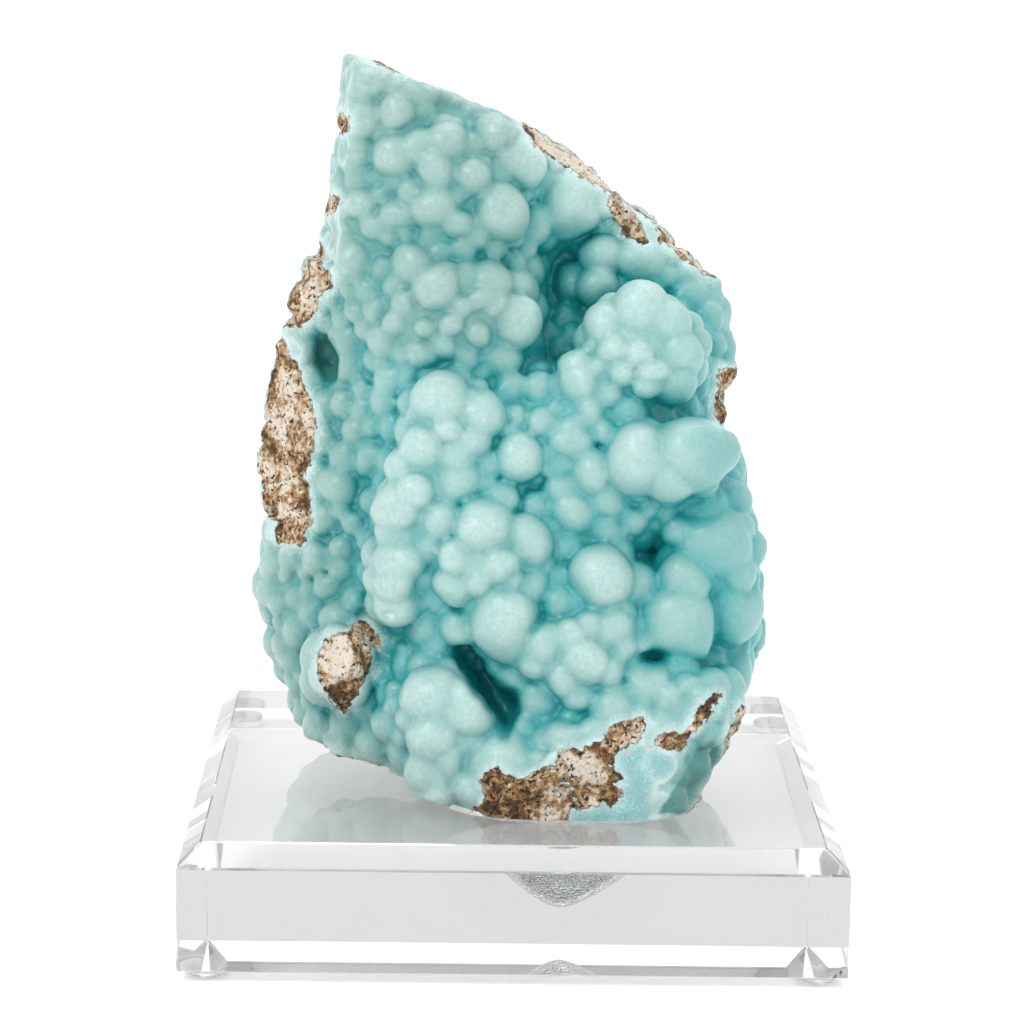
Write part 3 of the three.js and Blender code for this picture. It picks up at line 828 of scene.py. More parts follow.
def part_touching(value: Array, rounds: int = 12, filled: float = -0.02) -> None:
    """Fill grid points until no two stretches of stone meet at an edge or a corner alone.

    Args:
        value: The field, below zero inside, which is changed.
        rounds: The most rounds of filling.
        filled: What a filled point becomes.
    """
    def shifted(mask: Array, step: Any) -> Array:
        """The mask seen from one corner of each cell."""
        return mask[tuple(slice(s, mask.shape[a] - 1 + s) for a, s in enumerate(step))]

    for _ in range(rounds):
        solid = value < 0
        grown = solid.copy()
        corners = {c: shifted(solid, c) for c in np.ndindex(2, 2, 2)}
        for axis in range(3):
            a, b = (np.eye(3, dtype=int)[i] for i in range(3) if i != axis)
            start, far, left, right = (corners[tuple(c)] for c in (a * 0, a + b, a, b))
            bad = (start == far) & (left == right) & (start != left)
            for corner in (a * 0, a + b, a, b):
                shifted(grown, corner)[bad] = True
        total = sum(c.astype(np.int8) for c in corners.values())
        for corner in ((0, 0, 0), (1, 0, 0), (0, 1, 0), (0, 0, 1)):
            one, other = corners[corner], corners[tuple(1 - c for c in corner)]
            bad = (one & other & (total == 2)) | (~one & ~other & (total == 6))
            for every in corners:
                shifted(grown, every)[bad] = True
        if (grown == solid).all():
            return
        value[grown & ~solid] = filled


def skin_of(grid: Grid, value: Array) -> tuple[Array, Array]:
    """Skin a field: one vertex for each crossed cell, one four-sided face for each crossed edge.

    Args:
        grid: The grid.
        value: The field, below zero inside.

    Returns:
        Vertices, each the mean of the places where its cell's edges cross zero, and faces with
        their numbers in turning order, facing out.
    """
    solid = value < 0
    cells = grid.count - 1
    total = sum(solid[tuple(slice(c, c + n) for c, n in zip(corner, cells))].astype(np.int8)
                for corner in np.ndindex(2, 2, 2))
    where = np.argwhere((total > 0) & (total < 8))
    number = np.full(cells, -1, np.int32)
    number[tuple(where.T)] = np.arange(len(where))

    places = np.zeros((len(where), 3))
    crossings = np.zeros(len(where))
    faces = []
    for axis in range(3):
        along = np.eye(3, dtype=int)[axis]
        side, up = np.eye(3, dtype=int)[(axis + 1) % 3], np.eye(3, dtype=int)[(axis + 2) % 3]
        for start in (side * 0, side, up, side + up):
            near = value[tuple((where + start).T)]
            far = value[tuple((where + start + along).T)]
            crossed = (near < 0) != (far < 0)
            part = near[crossed] / (near[crossed] - far[crossed])
            places[crossed] += start + part[:, None] * along
            crossings[crossed] += 1
        first = solid[tuple(slice(0, n - a) for n, a in zip(grid.count, along))]
        second = solid[tuple(slice(a, n) for n, a in zip(grid.count, along))]
        edge = np.argwhere(first != second)
        edge = edge[((edge > 0) | (along > 0)).all(1) & ((edge < cells) | (along > 0)).all(1)]
        around = [number[tuple((edge - side * s - up * u).T)] for s, u in ((1, 1), (0, 1), (0, 0), (1, 0))]
        face = np.stack(around, 1)
        inward = ~first[tuple(edge.T)]
        face[inward] = face[inward][:, ::-1]
        faces.append(face)
    points = grid.low + grid.step * (where + places / crossings[:, None])
    return points, np.concatenate(faces)


def largest_stretch(points: Array, faces: Array) -> tuple[Array, Array]:
    """Keep the one connected stretch of skin with the most points.

    Each point takes the lowest number among its neighbours, and that number's own, until no
    number changes.

    Args:
        points: Vertices, one row each.
        faces: Faces, four vertex numbers each.

    Returns:
        The points and faces that are kept.
    """
    label = np.arange(len(points))
    edges = np.concatenate([faces[:, [0, 1]], faces[:, [1, 2]], faces[:, [2, 3]], faces[:, [3, 0]]])
    while True:
        before = label.copy()
        lowest = np.minimum(label[edges[:, 0]], label[edges[:, 1]])
        np.minimum.at(label, edges[:, 0], lowest)
        np.minimum.at(label, edges[:, 1], lowest)
        label = label[label]
        if (label == before).all():
            break
    kept = label == np.bincount(label).argmax()
    number = np.cumsum(kept) - 1
    return points[kept], number[faces[kept[faces[:, 0]]]]


def thinned(points: Array, faces: Array, most: int) -> tuple[Array, Array]:
    """Collapse the flattest edges of a closed skin until it has at most so many triangles.

    Args:
        points: Vertices, one row each.
        faces: Faces, four vertex numbers each.
        most: The most triangles.

    Returns:
        Points, and triangles with the last number repeated.
    """
    mesh = bpy.data.meshes.new("skin")
    mesh.from_pydata(points, [], faces.tolist())
    skin = bpy.data.objects.new("skin", mesh)
    bpy.context.scene.collection.objects.link(skin)
    modifier = skin.modifiers.new("thin", "DECIMATE")
    modifier.ratio = min(1.0, most / (2 * len(faces)))
    modifier.use_collapse_triangulate = True
    thin = bpy.data.meshes.new_from_object(skin.evaluated_get(bpy.context.evaluated_depsgraph_get()))
    count = len(thin.vertices), len(thin.polygons)
    points, corners = np.empty(count[0] * 3), np.empty(count[1] * 3, np.int32)
    thin.vertices.foreach_get("co", points)
    thin.polygons.foreach_get("vertices", corners)
    bpy.data.objects.remove(skin)
    for spare in (mesh, thin):
        bpy.data.meshes.remove(spare)
    triangles = corners.reshape(-1, 3)
    return points.reshape(-1, 3), np.column_stack([triangles, triangles[:, 2]])


# ---------------------------------------------------------------- the stone

class Bare(Enum):
    """What shows in a bare place on the stone's front, as the painted fields that it raises."""

    MATRIX = ("bare",)
    CORE = ("bare", "cream")
    # A smooth hollow, painted with the darker pocket colour as its shade.
    POCKET = ("pocket",)


@dataclass(frozen=True)
class Form:
    """A large swelling or pocket: an ellipsoid with its centre and half sizes."""

    name: str
    at: Vec3
    half: Vec3

    def distance(self, x: Array, y: Array, z: Array) -> Array:
        """About the distance to the ellipsoid: reach (reach - 1) over the slope of the reach.

        Args:
            x, y, z: Where the points are.

        Returns:
            The distances, below zero inside.
        """
        q = [(v - c) / h for v, c, h in zip((x, y, z), self.at, self.half)]
        reach = np.sqrt(q[0] ** 2 + q[1] ** 2 + q[2] ** 2) + 1e-9
        slope = np.sqrt(sum((part / h) ** 2 for part, h in zip(q, self.half))) + 1e-9
        return reach * (reach - 1) / slope


@dataclass(frozen=True)
class Break:
    """A face where rock broke away: a point on it, the way it faces, and its half sizes."""

    name: str
    at: Vec3
    facing: Vec3
    reach: Vec2 = (120.0, 120.0)

    def outside(self, x: Array, y: Array, z: Array, rubble: Array) -> Array:
        """How far each point lies inside the block that came away, roughened by rubble.

        Args:
            x, y, z: Where the points are.
            rubble: How much deeper than its plane the break is at each point.

        Returns:
            The depths, above zero where rock is gone.
        """
        outward = unit(self.facing)
        hint = (0, 0, 1) if abs(outward[2]) < 0.9 else (0, -1, 0)
        across = unit(np.cross(hint, outward))
        up = np.cross(outward, across)
        dx, dy, dz = x - self.at[0], y - self.at[1], z - self.at[2]
        away, side, rise = (dx * d[0] + dy * d[1] + dz * d[2] for d in (outward, across, up))
        ends = np.minimum(self.reach[0] - np.abs(side), self.reach[1] - np.abs(rise))
        return np.minimum(away + rubble, ends)


@dataclass(frozen=True)
class Patch:
    """A bare place on the stone's front, outlined on the upright plane."""

    name: str
    shows: Bare
    outline: tuple[Vec2, ...]


# ---------------------------------------------------------------- the stone's layout

# The stone's outline on the upright plane, clockwise from the tip, as (x, z).
OUTLINE = [
    (-35.5, 168.5), (-33, 170.5), (-29.5, 170.5), (-24, 169.5), (-18, 167.5), (-10, 164.5), (-4, 161.5),
    (1, 158), (8, 154.5), (16, 150), (24, 144.5), (28, 140.5), (30, 135), (39, 127.5), (40.5, 124),
    (43, 117.5), (43.5, 112.5), (43, 107), (41, 103.5), (41, 97), (44, 93), (46.5, 87.5), (47.5, 81),
    (49, 72.5), (50.5, 63.5), (51, 55), (50.5, 50), (48, 44), (47.5, 36), (47, 26.5), (46, 17), (42, 8.5),
    (29, 1), (6.5, -0.5), (-8, 3.5), (-17.5, 13), (-25.5, 20.5), (-36.5, 26.5), (-42, 32), (-44, 36.5),
    (-46.5, 44), (-50.5, 55), (-52.5, 60.5), (-51, 68.5), (-50, 77.5), (-52, 88), (-51, 95), (-52, 101),
    (-51, 108), (-47.5, 113.5), (-44.5, 117.5), (-45, 123.5), (-42, 130), (-39.5, 134.5), (-38, 140.5),
    (-37.5, 147.5), (-35.5, 154.5), (-35.5, 159), (-36.5, 163),
]

# How far forward the front lies, as (x, z, y); between the posts the depth blends.
RELIEF = [
    # the tall sheet at the upper left
    (-33, 166, -1), (-20, 159.5, -5), (-4, 152, -6), (-31.5, 147.5, -4), (-16, 141.5, -9), (-2, 138, -8),
    (-34.5, 129.5, -2), (-19.5, 123.5, -13), (-3.5, 122, -12), (-27.5, 113.5, -12), (-13.5, 111.5, -15),
    # the set-back flank at the left
    (-43.5, 121.5, 3), (-39.5, 109.5, 3), (-46.5, 101, 4), (-34.5, 95, -6), (-46.5, 89, 4),
    (-43.5, 76.5, -2), (-33, 77, -9), (-47.5, 62, -1), (-37, 60, -11), (-29.5, 91, -9), (-27, 64.5, -12),
    (-44, 43.5, -5), (-35, 33, -16),
    # the swelling middle
    (-15.5, 93.5, -22), (-19, 73, -24), (-3, 73, -26), (-9, 60.5, -27), (9, 91.5, -21), (17, 77.5, -20),
    (25, 94, -22), (37, 88, -20), (44.5, 77.5, -10), (49, 61.5, -10), (36, 61, -22), (17.5, 56.5, -28),
    (24.5, 110, -14), (37.5, 106.5, -9),
    # the foot
    (9.5, 44, -30), (28, 42, -31), (46.5, 44.5, -20), (38.5, 27.5, -35), (18, 23, -43), (-2, 21, -44),
    (-16.5, 25, -35), (-14.5, 35.5, -30), (-6.5, 50, -22), (-2.5, 40, -22),
    # the cave's back wall and the rim above it
    (20, 132, 9), (10, 136, 8), (8.5, 120, 7), (34.5, 123.5, 3), (40.5, 116.5, -1), (16, 146, 9),
    (34, 130, 9), (8, 154, 5),
]

# The large swellings.
LOBES = [
    Form("sheet foot", (-12.5, -7, 119), (16.5, 12, 13.5)),
    Form("sheet middle", (-13, -1, 141), (15, 11, 18)),
    Form("sheet top", (-25, 3, 160), (11.5, 9, 11)),
    Form("sheet left", (-28.5, 1, 131.5), (10, 10, 18)),
    Form("sheet shoulder", (-4, 1, 151.5), (8, 8, 9)),
    Form("cap", (24, -11, 113.5), (13.5, 12, 13)),
    Form("cap foot", (14.5, -13, 105), (7.5, 9, 10)),
    Form("ridge", (30, -19, 93), (12.5, 9.5, 7.8)),
    Form("centre crown", (-13, -16, 99), (10, 11, 10.5)),
    Form("centre left", (-18, -18, 84.5), (9, 11, 13)),
    Form("centre foot", (-22.5, -18, 69.5), (7.5, 11, 11)),
    Form("centre front", (-6, -20, 74), (13, 14, 11.5)),
    Form("middle", (12.5, -14, 84), (8, 11, 13)),
    Form("right", (37, -12, 72), (12, 13, 16)),
    Form("lower middle", (12, -22, 55.5), (14, 13.5, 13)),
    Form("lower left", (-13, -26, 44), (10.5, 11.5, 8.5)),
    Form("lower left foot", (-14.5, -29, 32), (6.5, 9, 8.5)),
    Form("broken stub", (-33.5, -12, 50.5), (8.5, 16, 9.5)),
    Form("left foot", (-30.5, -6, 33.5), (10, 13, 10)),
    Form("lower right", (33, -24, 46), (13, 13, 9)),
]

# The wide hollows between them.
POCKETS = [
    Form("cave, left", (9, -8, 127), (7.5, 16, 12.5)),
    Form("cave, top", (18, -6, 134.5), (14, 13, 8)),
    Form("cave, right", (34.5, -8, 126), (7, 11, 4.5)),
    Form("behind the ball", (26.5, -24, 74), (4, 12, 5)),
    Form("left", (-39, -4, 109.5), (5, 8, 7.5)),
    Form("middle", (1.5, -28, 88.5), (5.5, 8, 4)),
]

# The deep cracks that stay open between the heads.
CRACKS = [
    Form("slot, top", (-9.6, -28, 54.6), (1.6, 11, 2.8)),
    Form("slot, upper", (-7.2, -28, 51.6), (1.8, 11, 3)),
    Form("slot, middle", (-4.8, -28, 48.6), (2, 11, 3)),
    Form("slot, lower", (-2.6, -28, 46), (1.8, 11, 2.8)),
    Form("slot, foot", (-1.6, -28, 43.6), (1.4, 11, 2.4)),
    Form("left hollow", (-38, 0, 109.5), (2.6, 6, 4.4)),
    Form("right crack", (27, -34, 55), (4, 9, 1.8)),
]

# The larger heads of the crust, as (x, z, radius, lift). The lift is how far the head stands
# out of the form below it, as a part of its radius, and 0 where it isn't given.
HEADS = [
    # sheet
    (-29.5, 165.5, 3.8, 0.4), (-30.5, 158, 3.4, 0.35), (-20, 164.5, 4, 0.35), (-31.5, 151.5, 4.2, 0.35),
    (-24, 150.5, 4.2, 0.35), (-20, 152, 3.2, 0.3), (-14, 153, 3.4, 0.35), (-16.5, 147.5, 3.2, 0.35),
    (-24.5, 159, 3, 0.4), (-5.5, 155, 3.4, 0.3), (-9.5, 146.5, 3.4, 0.4),
    (-4, 139.5, 4.6, 0.5), (-17, 140.5, 4, 0.2), (-1, 149, 4.8), (-31, 140.5, 3, 0.1),
    (-24.5, 138.5, 2.8, 0.1), (-32.5, 128.5, 4, 0.1), (-37.5, 128.5, 2.8), (-20.5, 128.5, 4, 0.3),
    (-16, 124.5, 4, 0.4), (-19, 111, 2.8, 0.2), (-33.5, 112.5, 3.8, 0.1), (-33, 108.5, 3.4, 0.1),
    (-26, 113.5, 3.2, 0.1), (-24.5, 105.5, 3.2, 0.1), (-25, 101.5, 3.4), (-0.5, 124, 3.6, 0.2),
    (-0.5, 117.5, 4.2, 0.2), (-4, 110, 3.8, 0.2), (-12.5, 137, 2.8, 0.1),
    # cave wall and rim
    (9, 141, 5.4, 0.4), (16.7, 131, 3.6, 0.9), (24, 130, 4.4, 0.3), (11.5, 125, 3.8, 0.7),
    (16, 124.5, 3.4, 0.7), (2, 137, 3.6), (8.5, 128, 3), (37.5, 118.5, 3), (14, 143, 2.8), (5, 145, 3.2),
    (6, 150, 2.8),
    # cap
    (13, 105.5, 3.4, 0.2), (12.5, 108.5, 3.2, 0.2), (17.5, 117.5, 3.8), (24.5, 120, 4.8), (30, 117.5, 3.6),
    (19, 112.5, 2.8), (32.5, 111.5, 3.6), (35, 106, 3), (33, 101.5, 3), (8.5, 111.5, 2.8, 0.1),
    (35.5, 113.5, 2.8),
    # ridge
    (25, 90, 5.6, 0.2), (35.5, 91, 6, 0.2), (39.5, 91, 3.8, 0.2), (31.5, 86.5, 4.2, 0.1),
    (27, 94, 3.2, 0.1), (22.5, 87.5, 3.2, 0.1),
    # centre
    (-15.5, 101.5, 4.6, 0.2), (-18, 91.5, 4, 0.2), (-7, 98.5, 4, 0.2), (0.5, 90, 4.4, 0.4),
    (-24.5, 89, 2.8), (-1.5, 103.5, 2.8, 0.1), (4.5, 103, 3.2, 0.1), (-12, 90.5, 3.6, 0.1),
    (-12, 85, 4.6, 0.2), (-9, 93.5, 3, 0.1), (-3, 80.5, 3.4, 0.2), (-23, 79.5, 4, 0.1), (-20, 83, 3, 0.1),
    (-23, 74.5, 3.6, 0.1), (-14.5, 77, 3.6, 0.2), (-6, 75, 5, 0.2), (2, 73, 4.2, 0.1), (4, 79.5, 2.8),
    (-12, 69.5, 3, 0.2), (-17, 65, 2.8, 0.1), (-23, 68.5, 4, 0.1), (-24, 63.5, 3.2, 0.1), (-17, 72, 3),
    (-3, 68, 3, 0.1), (-15, 60.5, 3, 0.1),
    # middle and right
    (11, 93.5, 3.6, 0.2), (11, 96, 2.8, 0.2), (15, 87.5, 4, 0.2), (9, 83.5, 2.8, 0.1), (11, 79.5, 3.8, 0.1),
    (10, 72, 3, 0.1), (23.5, 78, 2.8, 0.1), (33.5, 75, 3, 0.1), (37.5, 80.5, 4.4), (42.5, 81.5, 4),
    (39.5, 72.5, 6.4, -0.25), (41.5, 59.5, 6.8, -0.25), (18, 75.5, 2.8), (24, 64.5, 4, 0.2),
    (41, 47, 5.8, -0.2),
    # the large balls
    (-1.5, 58, 5.2, 1.0), (-1.5, 55.5, 5.2, 1.0), (-10, 55.5, 4, 0.3), (17.5, 65.5, 5.4, 0.7),
    (34.5, 65, 4.2, 0.5), (32.5, 56, 6.6, 0.5),
    # lower middle
    (20, 55, 4, 0.1), (11.5, 53, 2.8, 0.2), (9.5, 60, 3.2, 0.1), (6.5, 52, 3.6, 0.2),
    (14.5, 48.5, 3.8, 0.1), (0, 45, 3.6, 0.1), (5.5, 39.5, 4.4, 0.1), (13, 41.5, 2.8, 0.1),
    (19, 46.5, 2.8, 0.1), (22, 51, 2.8, 0.1), (20, 39, 4, 0.1), (27.5, 43.5, 4.4, 0.1), (21, 58, 3.4, 0.1),
    (-1, 26, 6.4, -0.2), (2, 32.5, 3.2, 0.1), (10.5, 32, 3.2, 0.2), (16.5, 33.5, 2.8),
    (15.5, 55.5, 2.8, 0.1), (26, 37, 2.8), (39, 48, 3.8), (38.5, 40, 2.8),
    (44.5, 39.5, 2.8), (44, 32.5, 2.8), (32, 40, 2.8),
    # flank
    (-34.5, 84, 4, 0.1), (-44.5, 68.5, 2.8), (-39, 68.5, 3), (-29, 66, 2.8),
    (-34.5, 55, 4, 0.1), (-45, 51.5, 2.8), (-42.5, 43, 3), (-39.5, 39, 2.8), (-38, 33.5, 3.6),
    (-27.5, 31.5, 3.6, 0.2), (-37, 62.5, 2.8), (-31, 60.5, 2.8), (-37.5, 76.5, 3), (-33.5, 90, 3),
    (-43, 48.5, 2.8), (-39.5, 57.5, 3.6, 0.1),
    # lower left
    (-16, 40, 5.2), (-9.5, 38, 5), (-12.5, 43.5, 4), (-15.5, 31.5, 4.6), (-17.5, 24.5, 3.4),
    (-12.5, 27, 3.2),
]

# The smaller heads, in the same way.
SMALL_HEADS = [
    (-34.5, 164.5, 2.6), (-34.5, 161.5, 2.4), (-33.5, 155.5, 1.8), (-32, 168, 2.2),
    (-30.5, 155.5, 2), (-27, 159, 1.8), (-27, 167.5, 1.8), (-27, 155.5, 2.2), (-25, 163.5, 2),
    (-22, 156, 1.8), (-22, 167, 1.6), (-19, 159.5, 2), (-18, 163.5, 2), (-16, 162, 1.8), (-15.5, 156.5, 2),
    (-13, 160.5, 1.8), (-13, 155.5, 2), (-10, 158.5, 2), (-10, 152.5, 2.4, 0.1), (-6, 159.5, 2),
    (0, 156, 2), (-37.5, 133.5, 2), (-34.5, 138.5, 2), (-34.5, 134.5, 2.4), (-34.5, 144.5, 2.2),
    (-28.5, 146, 1.8), (-28.5, 135.5, 2.6), (-27.5, 142.5, 2), (-25.5, 133.5, 2), (-22.5, 138.5, 2.4, 0.1),
    (-22, 134.5, 1.6), (-21.5, 143.5, 2.6, 0.1), (-17.5, 134.5, 2.2), (-13, 142.5, 2), (-11.5, 131, 2.4),
    (-8.5, 134, 2.4), (-8, 143, 1.8), (-5.5, 132, 2.4), (-4, 146, 2.4), (0, 143, 2), (4, 139, 2.2),
    (6, 132, 2), (8, 134, 2), (11, 147, 2.4), (11, 137, 2.4), (13, 133, 2.4), (16, 137, 2.6), (16, 141, 2),
    (20, 135, 2.6), (21, 140, 2.2), (-41.5, 117.5, 2.4), (-40.5, 123.5, 2.2), (-37.5, 116.5, 2.2),
    (-36.5, 121.5, 2.4), (-31.5, 119.5, 2.6), (-27.5, 119.5, 2.6), (-26.5, 127.5, 2.4), (-23.5, 116.5, 2.4),
    (-22.5, 120.5, 2.4, 0.1), (-18, 116.5, 2, 0.1), (-14.5, 112.5, 2.4), (-13, 117, 2.4, 0.1),
    (-10.5, 126, 2.4), (-10.5, 110, 2.4, 0.1), (-7.5, 115, 2.4, 0.1), (-7.5, 122, 2, 0.1),
    (-1.5, 129.5, 2.2), (3.5, 129, 2.6), (5.5, 122, 2.4), (6, 122, 2), (14.5, 126, 2.4), (16.5, 120, 2),
    (16.5, 123, 2.4), (21.5, 125, 2.4), (24.5, 112, 2.6, 0.05), (27, 125.5, 2.2), (29, 127.5, 2.4),
    (33, 127.5, 2), (36.5, 115.5, 2), (38.5, 122.5, 1.8), (39, 113.5, 2.4),
    (-38.5, 97, 2.2), (-37.5, 93, 2.6), (-34.5, 100.5, 2.6), (-31.5, 95, 2.6), (-30.5, 103.5, 2.2),
    (-28.5, 109.5, 2.4), (-28, 96, 2), (-26.5, 109.5, 2), (-21.5, 106.5, 2.6), (-17.5, 106.5, 2),
    (-9.5, 101.5, 2), (-7.5, 106.5, 1.8), (0, 98.5, 2.2, 0.1), (5.5, 97.5, 2.4, 0.1), (6, 90.5, 1.8),
    (8.5, 100, 1.8), (16.5, 108.5, 2.2), (17.5, 96, 2.2, 0.1), (19, 103, 2.4, 0.1), (21.5, 107.5, 2.4),
    (26.5, 105, 2.4, 0.1), (27.5, 108, 2.4), (29.5, 99.5, 2.4), (-42.5, 74.5, 2.4), (-39.5, 81, 2.4),
    (-39, 87, 2.6), (-34, 70.5, 2.4), (-32, 76, 2.4), (-29, 72.5, 2.6), (-28, 81, 2.6), (-27, 77, 2),
    (-26, 85, 2.4), (-2, 85.5, 1.8), (4, 85.5, 2), (6.5, 87.5, 1.6), (15.5, 71, 2.2),
    (20.5, 75.5, 1.8, 0.1), (27, 80.5, 2.2, 0.1), (30, 73, 2, 0.1), (31, 79, 2.4, 0.1),
    (36.5, 73.5, 2, 0.1), (39.5, 86, 2.4), (-48.5, 56.5, 2), (-46.5, 59.5, 2.4),
    (-45.5, 65, 2), (-41, 62, 2.2), (-34.5, 66, 2, 0.1), (-25.5, 54.5, 2.4, 0.1), (-7, 64.5, 2.4, 0.1),
    (9.5, 65.5, 2.6, 0.1), (12, 60, 2.4, 0.1), (39, 58, 2.6, 0.1), (-41, 45, 2.2),
    (-23.5, 38.5, 2), (-23, 41.5, 2), (-22, 47, 2.4), (-21.5, 49.5, 2.2, 0.1), (-21.5, 32, 2.4),
    (-3.5, 47.5, 2.4), (5, 48, 2.6, 0.1), (7.5, 31.5, 2.4, 0.2), (10.5, 44.5, 2.6, 0.2),
    (13, 32.5, 2.4, 0.2), (20.5, 35.5, 2.4), (36, 42.5, 2.4), (-34, 29.5, 2.4, 0.1), (-33, 25.5, 2.2),
    (-28, 26, 2.6), (-22.5, 23.5, 2.2), (-14.5, 19.5, 2.6),
]

# Where rock broke away.
BREAKS = [
    Break("back", (-0.5, 27, 76), (0.02, 0.99, 0.13)),
    Break("back, left", (-38, 17, 88), (-0.5, 0.86, 0.05)),
    Break("back, right", (38, 17, 89), (0.52, 0.85, 0.08)),
    Break("back, foot", (0.5, 12, 19.5), (0, 0.8, -0.6)),
    Break("top right", (2.1, 13, 157.9), (0.61, -0.1, 0.78)),
    Break("crest", (-16, 0, 165), (0.36, 0.09, 0.93)),
    Break("upper left", (-37.6, 4, 151), (-0.96, -0.22, 0.1), (120, 22)),
    Break("left patch", (-51.5, 5.5, 92.5), (-0.76, -0.65, 0.1), (14, 21)),
    Break("stub tip", (-33.5, -28, 52), (-0.2, -0.97, 0.12), (10, 12)),
    Break("front foot", (18.5, -40, 36.5), (0.1, -0.985, 0.1), (32, 15)),
    Break("front foot, right", (43.5, -33, 34), (0.6, -0.8, -0.08), (14, 15)),
    Break("under, left", (-25.5, -20, 28.5), (-0.3, -0.1, -0.95), (22, 120)),
    Break("under, right", (41, -30, 29.5), (0.8, 0.1, -0.59)),
    Break("right side", (50.5, 6, 60), (0.93, 0.35, 0.05)),
]

